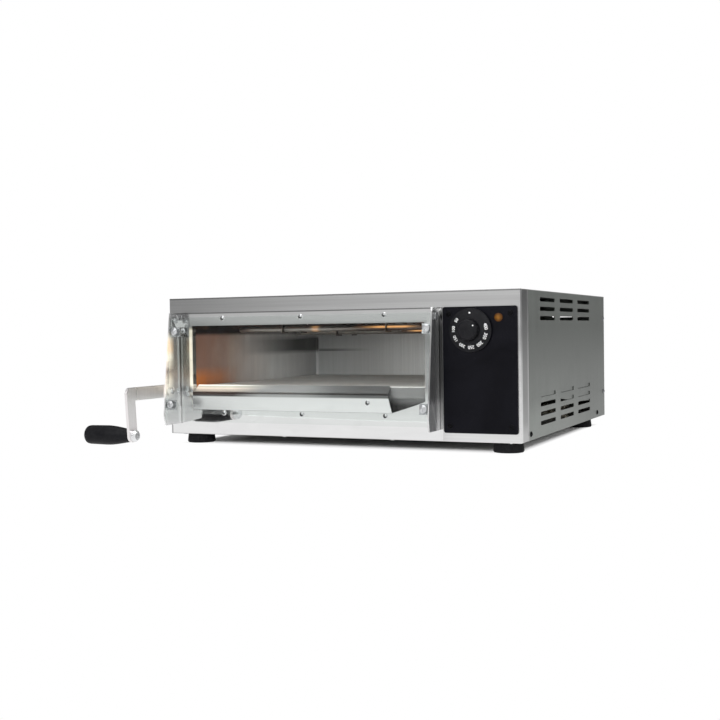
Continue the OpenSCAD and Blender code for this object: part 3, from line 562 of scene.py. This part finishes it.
# %% [markdown]
# ## Chamber and stone
# Stainless that has been hot takes a straw to brown tint, strongest near the heaters and
# in the front left corner, where the light of the lower heater is also painted in. The
# tint is a mask over the object's own coordinates, broken up by noise so that it does not
# look sprayed on. Under the ceiling the steel is painted nearly black as shade, with a
# painted shade patch and line lower on the left and rear walls, and below the stone it is
# painted dark as shade. The stone is pale, fine and slightly porous, with flour in its
# surface, and its front face is painted dark as shade.

# %% Chamber steel
cavity = np.array(frame["record"]["physics"]["openings"][0]["box_m"])
cavity_low, cavity_high = (cavity - BODY_CORNER) * 1000.0


def chamber_finish(name):
    """Heat-tinted sheet, grey at the rear right and brown at the front left, with the lower
    heater's light painted in at the front left and painted shade at the top, on the left wall and
    below the stone.
    """
    finish = Finish(name)
    x, y, z = finish.body_mm()
    left_x = float(cavity_low[0])
    left = 1.0 - x.ramp(left_x, left_x + 3.0)
    patches = finish.noise(16.0, 4.0, rough=0.6)
    grain = finish.noise(1.0, 3.0, (500.0, 60.0, 5.0))
    blotch = (patches - 0.5) * 90.0
    rear = finish.ladder(x, [
        (40.0, 0.46), (150.0, 0.56), (215.0, 0.78), (250.0, 0.92), (385.0, 0.92)
    ])
    # The left wall: heat tint, brown at the front, where the lower heater's light is painted in
    # with it.
    side = finish.ladder(y + blotch, [
        (0.0, [0.30, 0.14, 0.09]), (55.0, [0.38, 0.20, 0.14]), (100.0, [0.52, 0.36, 0.28]),
        (170.0, [0.80, 0.72, 0.67]), (240.0, [0.98, 0.96, 0.94]), (390.0, [0.54, 0.53, 0.53])
    ])
    base = finish.blend(left, rear, side)
    # Heat tint with the lower heater's orange light painted in, at the front of the left wall
    # just above the stone.
    tint_and_glow = left * window(z, 58.0, 72.0, 80.0, 97.0) * (1.0 - (y + blotch).ramp(35.0, 130.0))
    base = finish.blend(tint_and_glow * 0.9, base, [0.85, 0.24, 0.03])
    # Painted shade: a dark patch on the rear of the left wall, and a dark line across the left
    # part of the rear wall.
    wall_shade = left * y.ramp(130.0, 385.0) * window(z, 108.0, 116.0, 132.0, 140.0)
    painted_streak = (1.0 - left) * window(z, 110.5, 112.0, 113.5, 117.0) * (1.0 - x.ramp(70.0, 150.0))
    base = finish.blend((wall_shade * 1.3).most(painted_streak * 0.7), base, [0.03, 0.028, 0.025])
    # Painted shade: nearly black at the top of the chamber, from lower down on the left wall.
    top_shade = (left * z.ramp(141.0, 147.0)).most(z.ramp(149.0, 151.0))
    base = finish.blend(top_shade * 0.95, base, [0.035, 0.010, 0.004])
    # Painted shade below the stone, darkest at the bottom.
    shade_below_stone = finish.ladder(z, [(20.0, 0.02), (44.0, 0.03), (52.0, 0.20), (56.0, 0.35)])
    base = finish.blend(1.0 - z.ramp(53.0, 57.0), base, shade_below_stone)
    # Painted shade under the ceiling, in blotchy dark browns.
    ceiling = z.ramp(150.0, 153.0)
    ceiling_shade = finish.blend(patches.ramp(0.42, 0.62), [0.05, 0.02, 0.01], [0.20, 0.08, 0.03])
    base = finish.blend(ceiling, base, ceiling_shade)
    base = finish.blend((grain - 0.5).ramp(-0.2, 0.2) * 0.2, base, [0.25, 0.24, 0.23])
    finish.surface(
        Base_Color=base, Metallic=(0.5 - left * 0.35).most(top_shade),
        Roughness=grain * 0.18 + 0.34,
        Normal=finish.bump(grain + patches * 0.3, 0.0001)
    )
    return finish


chamber_steel = chamber_finish("chamber_steel")
print("chamber from", np.round(cavity_low), "to", np.round(cavity_high), "mm")


# %% Refractory stone
STONE_Y = float(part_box("refractory_stone")[0][1] - BODY_CORNER[1]) * 1000.0


def stone_finish(name):
    """Fireclay: fine pores as small dark dots, browned patches and a dusting of flour, and a
    front face painted dark as shade.
    """
    finish = Finish(name)
    cells = {"Vector": finish.place(), "Scale": 420.0}
    pores = finish.node("TexVoronoi", {"feature": "F1"}, cells).ramp(0.05, 0.32)
    toast = finish.noise(11.0, 5.0, rough=0.62, warp=0.3).ramp(0.45, 0.78)
    flour = finish.noise(46.0, 6.0, rough=0.7).ramp(0.52, 0.72)
    base = finish.blend(toast, [0.84, 0.82, 0.79], [0.66, 0.62, 0.57])
    base = finish.blend(flour * 0.4, base, [0.76, 0.74, 0.70])
    base = finish.blend(1.0 - pores, base, [0.34, 0.31, 0.28])
    _, y, _ = finish.body_mm()
    # Painted shade: the stone's front face is darkened.
    shaded_front = 1.0 - y.ramp(STONE_Y + 0.2, STONE_Y + 1.0)
    base = finish.blend(shaded_front * 0.92, base, [0.12] * 3)
    finish.surface(
        Base_Color=base, Roughness=0.86 - flour * 0.06,
        Normal=finish.bump(pores * 0.7 + flour * 0.3, 0.0004)
    )
    return finish


fireclay = stone_finish("fireclay")
print("stone's front face at", round(STONE_Y, 2), "mm from the fascia")


# %% Heater tubes
def heater_finish(name, sheath, glow):
    """A steel sheath that glows towards the right, with one hot spot further left."""
    finish = Finish(name)
    x, y, z = finish.body_mm()
    scale_marks = finish.noise(150.0, 4.0, rough=0.6)
    base = finish.blend(scale_marks.ramp(0.35, 0.7), sheath, shade(sheath, 1.35))
    base = finish.blend(x.ramp(215.0, 290.0) * 0.85, base, [0.05, 0.02, 0.012])
    uneven = (finish.noise(14.0, 2.0) - 0.5) * 30.0
    along = x + uneven
    rear = y.ramp(150.0, 200.0)
    front_core = window(z, 149.0, 150.8, 152.2, 154.0) * window(along, 256.0, 300.0, 345.0, 372.0)
    rear_core = window(z, 142.5, 145.0, 146.6, 149.0) * window(along, 262.0, 284.0, 396.0, 402.0)
    spot = window(x, 190.0, 197.0, 203.0, 210.0) * (1.0 - rear) * 0.62
    heat = (front_core * (1.0 - rear) + rear_core * rear).most(spot)
    colour = finish.ladder(heat, [
        (0.0, BLACK), (0.35, shade(glow, 0.10)), (0.7, shade(glow, 0.45)), (1.0, glow)
    ])
    finish.surface(
        Base_Color=base, Metallic=0.9, Roughness=scale_marks * 0.2 + 0.3,
        Normal=finish.bump(scale_marks, 0.0001), Emission_Color=colour, Emission_Strength=1.0
    )
    return finish


glowing_heater = heater_finish("glowing_heater", [0.30, 0.28, 0.26], [0.86, 0.42, 0.15])
heater_sheath = heater_finish("heater_sheath", [0.26, 0.24, 0.22], [0.9, 0.22, 0.04])
tell("chamber", chamber_steel, fireclay, glowing_heater, heater_sheath)

# %% [markdown]
# ## Black parts
# The control panel is satin black enamel on sheet: almost smooth, with a fine orange peel
# that only its reflections show. The knob and the grip are pressed phenolic, with a faint
# flow texture and a little dust. The feet are rubber, duller and dustier.


# %% Enamel, phenolic and rubber
def black_enamel(name):
    """Satin black: a fine peel in the bump, and wiped patches in the roughness."""
    finish = Finish(name)
    peel = finish.noise(420.0, 2.0)
    wiped = finish.noise(12.0, 5.0, rough=0.6, warp=0.8)
    dust = finish.noise(900.0, 2.0, rough=0.7).ramp(0.66, 0.74)
    base = finish.blend(wiped.ramp(0.3, 0.75), [0.0015, 0.0015, 0.0025], [0.004, 0.004, 0.006])
    base = finish.blend(dust * 0.2, base, [0.06, 0.06, 0.06])
    finish.surface(
        Base_Color=base, Roughness=wiped * 0.14 + 0.30,
        Normal=finish.bump(peel, 0.00003), Specular_IOR_Level=0.07
    )
    return finish


def moulded_black(name, rough, dirt):
    """Pressed plastic or rubber: mottled gloss, fine grit, and specks of dust."""
    finish = Finish(name)
    flow = finish.noise(70.0, 5.0, rough=0.62, warp=1.0)
    grit = finish.noise(1400.0, 2.0)
    base = finish.blend(flow.ramp(0.35, 0.7), [0.004, 0.004, 0.005], [0.008, 0.008, 0.009])
    base = finish.blend(grit.ramp(0.6, 0.8) * dirt, base, [0.16, 0.155, 0.15])
    finish.surface(
        Base_Color=base, Roughness=flow * 0.18 + rough, Specular_IOR_Level=0.10,
        Normal=finish.bump(grit * 0.5 + flow * 0.5, 0.00006)
    )
    return finish


black_panel = black_enamel("black_panel")
black_plastic = moulded_black("black_plastic", 0.30, 0.10)
foot_rubber = moulded_black("foot_rubber", 0.58, 0.35)
black_screw = moulded_black("black_screw", 0.28, 0.05)
black_screw.surface(Metallic=0.7)
tell("black", black_panel, black_plastic, foot_rubber, black_screw)

# %% [markdown]
# ## Small parts
# Zinc-plated screws, the amber lens, the pale thermoset of the thermostat, the wool and
# the glass. The heads around the mouth are bright, with painted shade in the lower left of
# each recess: their distance to the nearest screw's middle draws it. The glass is a mix of
# a clear and a mirror shader, led by the Fresnel rule, so light and colour pass through it
# unbent, as they do through a flat pane.


# %% Screws and bolts
def plated(name, colour, metal=1.0):
    """Zinc or plain steel: a faint spangle in its colour, its gloss and its bump."""
    finish = Finish(name)
    spangle = finish.noise(260.0, 3.0)
    finish.surface(
        Base_Color=finish.blend(spangle.ramp(0.3, 0.7), shade(colour, 0.86), colour),
        Metallic=metal, Roughness=spangle * 0.16 + 0.14, Normal=finish.bump(spangle, 0.00003)
    )
    return finish


zinc_screw = plated("zinc_screw", [0.84, 0.85, 0.86])
heat_grey = plated("heat_grey", [0.22, 0.22, 0.23], 0.8)
bolt_grey = plated("bolt_grey", [0.52, 0.53, 0.54], 0.8)
scorched_clip = plated("scorched_clip", [0.10, 0.075, 0.06], 0.8)
tell("screws and bolts", zinc_screw, heat_grey, bolt_grey, scorched_clip)

# %% Heads around the mouth
HEAD_R = 3.7  # mm
HEAD_COLOUR = [0.70, 0.70, 0.71]


def off_centre(value, low, high, count):
    """Distance in mm to the nearest of `count` evenly spaced screws between two edges."""
    first = low + HEAD_R
    if count == 1:
        return value - first
    step = (high - low - 2 * HEAD_R) / (count - 1)
    place = (value - first) / step
    return value - first - place.maths("ROUND", place) * step


def worn_head(name, node, columns, rows):
    """A bright screw head whose recess is painted dark on its lower left, as shade."""
    finish = plated(name, HEAD_COLOUR)
    low, high = [(np.array(c) - BODY_CORNER) * 1000.0 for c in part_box(node)]
    x, _, z = finish.body_mm()
    dx = off_centre(x, float(low[0]), float(high[0]), columns)
    dz = off_centre(z, float(low[2]), float(high[2]), rows)
    whole = (dx * dx + dz * dz) ** 0.5
    off_lit_part = ((dx - 0.9) * (dx - 0.9) + (dz - 0.9) * (dz - 0.9)) ** 0.5
    # Painted shade in the recess, on its lower left.
    recess_shade = (1.0 - whole.ramp(2.3, 2.9)) * off_lit_part.ramp(1.3, 1.9)
    finish.surface(Base_Color=finish.blend(recess_shade, HEAD_COLOUR, [0.03, 0.03, 0.03]))
    return finish


mouth_heads = worn_head("mouth_heads", "mouth_screws", 3, 2)
sill_head = worn_head("sill_head", "sill_screw", 1, 1)
tell("heads", mouth_heads, sill_head)


# %% Lens
def amber(name):
    """A moulded lens over a dark lamp: deep amber, darker to its rim, ringed with prisms."""
    finish = Finish(name)
    low, high = [np.array(c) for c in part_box("lamp_lens")]
    middle = (low + high) / 2
    x, _, z = finish.axes()
    across = (x - float(middle[0])) * (x - float(middle[0]))
    upright = (z - float(middle[2])) * (z - float(middle[2]))
    radius = (across + upright) ** 0.5
    rings = radius.maths("SINE", radius * 6200.0)
    base = finish.blend(
        (radius * 1000.0).ramp(1.0, 5.4), [0.135, 0.056, 0.008], [0.03, 0.011, 0.003]
    )
    finish.surface(
        Base_Color=base, Roughness=0.08, Coat_Weight=0.05, Normal=finish.bump(rings, 0.00012),
        Specular_IOR_Level=0.12, Emission_Color=[1.0, 0.42, 0.05], Emission_Strength=0.02
    )
    return finish


amber_lens = amber("amber_lens")
tell("lens", amber_lens)


# %% Thermoset and wool
def thermoset(name):
    """Pale moulded thermoset, with a fine speckle."""
    finish = Finish(name)
    speckle = finish.noise(600.0, 3.0)
    base = finish.blend(speckle.ramp(0.4, 0.7), [0.62, 0.58, 0.47], [0.70, 0.66, 0.55])
    finish.surface(Base_Color=base, Roughness=speckle * 0.2 + 0.4,
                   Normal=finish.bump(speckle, 0.00005))
    return finish


def wool(name):
    """Stone wool: crossed stretched noises stand for matted fibres."""
    finish = Finish(name)
    fibres = finish.noise(1.0, 4.0, (300.0, 40.0, 900.0)) * 0.5
    fibres = fibres + finish.noise(1.0, 4.0, (40.0, 700.0, 300.0)) * 0.5
    base = finish.blend(fibres.ramp(0.35, 0.65), [0.34, 0.28, 0.14], [0.62, 0.54, 0.32])
    finish.surface(Base_Color=base, Roughness=0.95, Normal=finish.bump(fibres, 0.001))
    return finish


pale_plastic = thermoset("pale_plastic")
mineral_wool = wool("mineral_wool")
tell("inside", pale_plastic, mineral_wool)


# %% Glass
def clear_pane(name):
    """Flat glass: clear, with a mirror over it by the Fresnel rule and a few wipe marks."""
    finish = Finish(name)
    clear = finish.node("BsdfTransparent", sockets={"Color": [0.965, 0.975, 0.97]})
    mirror = finish.node(
        "BsdfGlossy", sockets={"Color": [0.95, 0.96, 0.96], "Roughness": 0.03}
    )
    fresnel = finish.node("Fresnel", sockets={"IOR": 1.45})
    smears = finish.noise(1.0, 4.0, (6.0, 6.0, 22.0), warp=1.0).ramp(0.45, 0.8)
    finish.show(fresnel * 0.25 + smears * 0.01, clear, mirror)
    return finish


clear_glass = clear_pane("clear_glass")
tell("glass", clear_glass)

# %% [markdown]
# ## Put the finishes on the solids
# The record that comes with the frame names a finish for every node. Each node keeps its
# mesh; only its material slot is filled. Some nodes that share a finish in the record look
# different in the photograph, because of where they stand, and get one of their own.

# %% Assign
FINISHES = {finish.name: finish for finish in (
    fascia_steel, cover_steel, polished_steel, tray_steel, chamber_steel, bracket_steel,
    mineral_wool, fireclay, glowing_heater, heater_sheath, black_panel, black_plastic,
    foot_rubber, amber_lens, pale_plastic, zinc_screw, black_screw, clear_glass, lever_steel
)}
OF_THEIR_OWN = {
    "mouth_plate": plate_polish, "sill_plate": sill_polish,
    "cheek_left_plate": cheek_polish, "cheek_right_plate": cheek_polish,
    "mouth_screws": mouth_heads, "sill_screw": sill_head, "rear_screws": heat_grey,
    "clamp_bolts": bolt_grey, "hinge_screws": bolt_grey, "hinge_pins": bolt_grey,
    "glass_clamps": bolt_grey, "upper_clips": scorched_clip, "lower_clips": scorched_clip,
}
slot_of = {part["node"]: part["material_slot"] for part in frame["record"]["subparts"]}
worn = set()
for name, solid in nodes.items():
    finish = OF_THEIR_OWN.get(name, FINISHES[slot_of[name]])
    solid.data.materials.clear()
    solid.data.materials.append(finish.material)
    worn.add(finish.name)
print("dressed", len(nodes), "nodes with", len(worn), "finishes")

# %% [markdown]
# ## Printing on the knob
# The skirt carries round numbers in white print, read against a dot at the top, and the
# cap a raised white dot. Print is thin: each figure is a text shape turned into a mesh a
# few hundredths of a millimetre thick, laid just proud of the skirt's cone.


# %% Print tools
def print_white(name):
    """White ink, a little worn."""
    finish = Finish(name)
    wear = finish.noise(900.0, 3.0).ramp(0.2, 0.75)
    base = finish.blend(wear, [0.52, 0.52, 0.52], [0.80, 0.80, 0.79])
    finish.surface(Base_Color=base, Roughness=wear * 0.2 + 0.4)
    return finish


white_ink = print_white("white_ink")
knob_low, knob_high = [np.array(c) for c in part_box("knob")]
KNOB_X = float(knob_low[0] + knob_high[0]) / 2
KNOB_Z = float(knob_low[2] + knob_high[2]) / 2
SKIRT_R = float(knob_high[0] - knob_low[0]) / 2
SKIRT_Y = float(knob_high[1])
SHOULDER_R = 0.0184   # where the skirt's cone meets the cap
RIM_DEPTH = 0.0016    # the rim's thickness
CONE_RISE = 0.0026    # how far the cone climbs from rim to cap
PROUD = 0.00006       # how far the print stands off the cone


def make_mesh(name, points, faces, finish, body):
    """A mesh object from an array of points and a list of faces, riding on a body."""
    mesh = bpy.data.meshes.new(name)
    mesh.from_pydata(np.asarray(points).tolist(), [], faces)
    mesh.update()
    piece = bpy.data.objects.new(name, mesh)
    bpy.context.scene.collection.objects.link(piece)
    mesh.materials.append(finish.material)
    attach(piece, body)


def dial_figures(text, height):
    """Points and faces of a text, flat in x and z and centred, its letters `height` tall."""
    curve = bpy.data.curves.new("figure", "FONT")
    curve.body = text
    curve.size = height
    curve.align_x = "CENTER"
    curve.align_y = "CENTER"
    curve.extrude = 0.00004
    holder = bpy.data.objects.new("figure", curve)
    bpy.context.scene.collection.objects.link(holder)
    shape = bpy.data.meshes.new_from_object(holder)
    points = np.zeros(len(shape.vertices) * 3)
    shape.vertices.foreach_get("co", points)
    points = points.reshape(-1, 3)
    faces = [list(face.vertices) for face in shape.polygons]
    bpy.data.objects.remove(holder)
    bpy.data.curves.remove(curve)
    bpy.data.meshes.remove(shape)
    return points, faces


def skirt_depth(radius):
    """The skirt's face as y at a radius: a straight climb from the rim to the cap."""
    climbed = np.clip((SKIRT_R - radius) / (SKIRT_R - SHOULDER_R), 0.0, 1.0)
    return SKIRT_Y - RIM_DEPTH - CONE_RISE * climbed


def on_dial(points, angle, radius):
    """Moves flat letters to an angle and radius of the dial and lays them on the cone."""
    turn = angle - math.pi / 2
    across = points[:, 0] * math.cos(turn) - points[:, 1] * math.sin(turn)
    upward = points[:, 0] * math.sin(turn) + points[:, 1] * math.cos(turn)
    dx = across + radius * math.cos(angle)
    dz = upward + radius * math.sin(angle)
    y = skirt_depth(np.hypot(dx, dz)) - PROUD - points[:, 2]
    return np.column_stack([KNOB_X + dx, y, KNOB_Z + dz])


print("skirt of", round(SKIRT_R * 1000, 1), "mm around", round(KNOB_X, 4), round(KNOB_Z, 4))


# %% Numbers
FIRST_LABEL = math.radians(144.0)
LABEL_STEP = math.radians(32.6)
LABEL_R = 0.0219
LABEL_HEIGHT = 0.0058
label_points, label_faces, label_offset = [], [], 0
for i, number in enumerate(range(50, 401, 50)):
    flat, faces = dial_figures(str(number), LABEL_HEIGHT)
    placed = on_dial(flat, FIRST_LABEL + i * LABEL_STEP, LABEL_R)
    label_points.append(placed)
    label_faces += [[v + label_offset for v in face] for face in faces]
    label_offset += len(placed)
make_mesh("knob_numbers", np.vstack(label_points), label_faces, white_ink, "knob")
print("printed", label_offset, "points of numbers")


# %% Dots
def disc(centre_x, centre_z, y, radius, dome=0.0003, steps=24, rings=4):
    """A low dome facing -y: radius times (cos, sin) around, height falling as a circle."""
    angle = np.linspace(0, 2 * np.pi, steps, endpoint=False)
    share = np.linspace(1.0, 0.0, rings + 1)[:-1]
    ring_r = radius * share
    ring_y = y - dome * np.sqrt(1 - share ** 2)
    points = np.stack([
        centre_x + ring_r[:, None] * np.cos(angle),
        np.repeat(ring_y[:, None], steps, axis=1),
        centre_z + ring_r[:, None] * np.sin(angle)
    ], axis=-1).reshape(-1, 3)
    points = np.vstack([points, [centre_x, y - dome, centre_z]])
    ring, step = np.meshgrid(np.arange(rings), np.arange(steps), indexing="ij")
    here, there = ring * steps + step, ring * steps + (step + 1) % steps
    quads = np.stack([here, there, there + steps, here + steps], axis=-1)[:-1].reshape(-1, 4)
    top = np.full(steps, len(points) - 1)
    cap = np.stack([here[-1], there[-1], top], axis=-1)
    return points, quads.tolist() + cap.tolist()


ZERO_R = 0.0222
points, faces = disc(KNOB_X, KNOB_Z + ZERO_R, float(skirt_depth(ZERO_R)), 0.0013)
make_mesh("zero_dot", points, faces, white_ink, "knob")
POINTER = math.radians(35.0)
POINTER_R = 0.0103
points, faces = disc(
    KNOB_X + POINTER_R * math.cos(POINTER), KNOB_Z + POINTER_R * math.sin(POINTER),
    float(knob_low[1]), 0.0009
)
make_mesh("pointer_dot", points, faces, white_ink, "knob")
print("dots of", len(points), "points each")

# %% [markdown]
# ## Floor, backdrop and light
# The oven stands on white paper in a bright studio, cut out so that only the shadow under
# it is left. Near the oven's outline the paper is plain matt white, which takes the shadow,
# and well under the body a shadow is painted into its colour, because the narrow gap there
# is almost black. Beyond the outline the paper is seen as pure white: a mask of the distance
# from it mixes in an emission that only the camera, mirrors and glass can see, so it adds no
# light to the oven. The world does the same, and for mirrors it darkens towards the left and
# the rear, as the far walls of a studio do. That helps the fascia's slow change to silver.

# %% Floor
def path_seen(tree):
    """1 for the rays of the camera, of mirrors and of glass, 0 for light that scatters."""
    camera_ray = add_node(tree, "LightPath", out="Is Camera Ray")
    glass_ray = camera_ray.also("Is Transmission Ray")
    return camera_ray.most(camera_ray.also("Is Glossy Ray")).most(glass_ray)


def paper_finish(name, low, high):
    """White paper: a painted shadow well under the body, and pure white to the eye beyond its
    outline.
    """
    finish = Finish(name)
    middle = [float(a + b) / 2 for a, b in zip(low, high)]
    half = [float(b - a) / 2 for a, b in zip(low, high)]
    x, y, _ = finish.axes()
    out_x, out_y = abs(x - middle[0]) - half[0], abs(y - middle[1]) - half[1]
    beside_x, beside_y = out_x.ramp(-0.022, -0.008), out_y.ramp(-0.050, -0.010)
    # Painted shadow: the paper's colour is darkened well under the body.
    under = (1.0 - out_x.ramp(-0.07, -0.03)) * (1.0 - out_y.ramp(-0.07, -0.02))
    fibres = finish.noise(60.0, 5.0, rough=0.6)
    base = finish.blend(fibres, [0.90, 0.90, 0.90], [0.95, 0.95, 0.95])
    finish.surface(
        Base_Color=finish.blend(under * 0.6, base, [0.03, 0.03, 0.03]),
        Roughness=0.9, Specular_IOR_Level=0.1
    )
    paper = Sock(finish.tree, finish.shader.outputs[0])
    white = finish.node("Emission", sockets={"Color": WHITE, "Strength": 1.0})
    finish.show(beside_x.most(beside_y) * path_seen(finish.tree), paper, white)
    return finish


body_low, body_high = [np.array(c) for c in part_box("outer_cover")]
body_low[1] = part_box("front_panel")[0][1]
floor_finish = paper_finish("floor_paper", body_low[:2], body_high[:2])
floor_mesh = bpy.data.meshes.new("floor")
REACH = 6  # metres of paper each way
floor_mesh.from_pydata(
    [(-REACH, -REACH, 0), (REACH, -REACH, 0), (REACH, REACH, 0), (-REACH, REACH, 0)],
    [], [(0, 1, 2, 3)]
)
floor_mesh.materials.append(floor_finish.material)
floor = bpy.data.objects.new("floor", floor_mesh)
bpy.context.scene.collection.objects.link(floor)
print("paper laid", 2 * REACH, "m square")

# %% World
world = bpy.data.worlds.new("studio")
bpy.context.scene.world = world
world.use_nodes = True
sky = world.node_tree
soft = Sock(sky, sky.nodes["Background"].outputs[0])
plug(sky, [0.95, 0.97, 1.0], soft.socket.node.inputs["Color"])
plug(sky, 0.5, soft.socket.node.inputs["Strength"])
to_right = add_node(sky, "SeparateXYZ", sockets={0: add_node(sky, "TexCoord", out="Generated")})
to_rear = to_right.also(1)
walls = (to_right.ramp(-0.75, 0.15) * 0.45 + 0.45) * (1.0 - to_rear.ramp(0.0, 0.6) * 0.8)
in_mirror = add_node(sky, "LightPath", out="Is Glossy Ray")
seen_level = in_mirror * walls + (1.0 - in_mirror)
backdrop = add_node(sky, "Background", sockets={"Color": WHITE, "Strength": seen_level})
either = add_node(sky, "MixShader", sockets={0: path_seen(sky), 1: soft, 2: backdrop})
plug(sky, either, sky.nodes["World Output"].inputs["Surface"])
print("world set, with", len(sky.nodes), "nodes")

# %% [markdown]
# ## Four soft boxes
# A big one overhead lights the top and the paper, one at the front left fills the fascia,
# and one at the right the side. The last is low in front: it looks into the mouth, where
# the others don't reach, and mirrors don't show it.


# %% Lamps
def softbox(name, place, target, size, power):
    """A rectangular lamp at a place, turned so that its -Z looks at the target."""
    data = bpy.data.lights.new(name, "AREA")
    data.shape = "RECTANGLE"
    data.size, data.size_y = size
    data.energy = power
    lamp = bpy.data.objects.new(name, data)
    aim = np.array(target, float) - np.array(place, float)
    aim /= np.linalg.norm(aim)
    side = np.cross(aim, [0, 0, 1.0])
    side /= np.linalg.norm(side)
    turned = np.eye(4)
    turned[:3, 0], turned[:3, 1], turned[:3, 2] = side, np.cross(side, aim), -aim
    turned[:3, 3] = place
    lamp.matrix_world = Matrix(turned.tolist())
    bpy.context.scene.collection.objects.link(lamp)
    return lamp


softbox("top_light", (0.1, -0.2, 2.2), (0.0, 0.0, 0.0), (2.6, 2.2), 28)
softbox("front_light", (-0.9, -2.3, 1.5), (0.0, -0.2, 0.1), (1.6, 1.6), 12)
softbox("side_light", (2.2, -0.6, 1.3), (0.2, 0.0, 0.1), (1.4, 1.4), 8)
low_light = softbox("low_light", (0.3, -1.75, 0.40), (0.0, 0.1, 0.08), (1.0, 0.5), 27)
low_light.visible_glossy = False
print("lit by", len(bpy.data.lights), "lights")

# %% [markdown]
# ## View settings
# The Standard view shows each colour about as it is written.

# %% View settings
bpy.context.scene.view_settings.view_transform = "Standard"
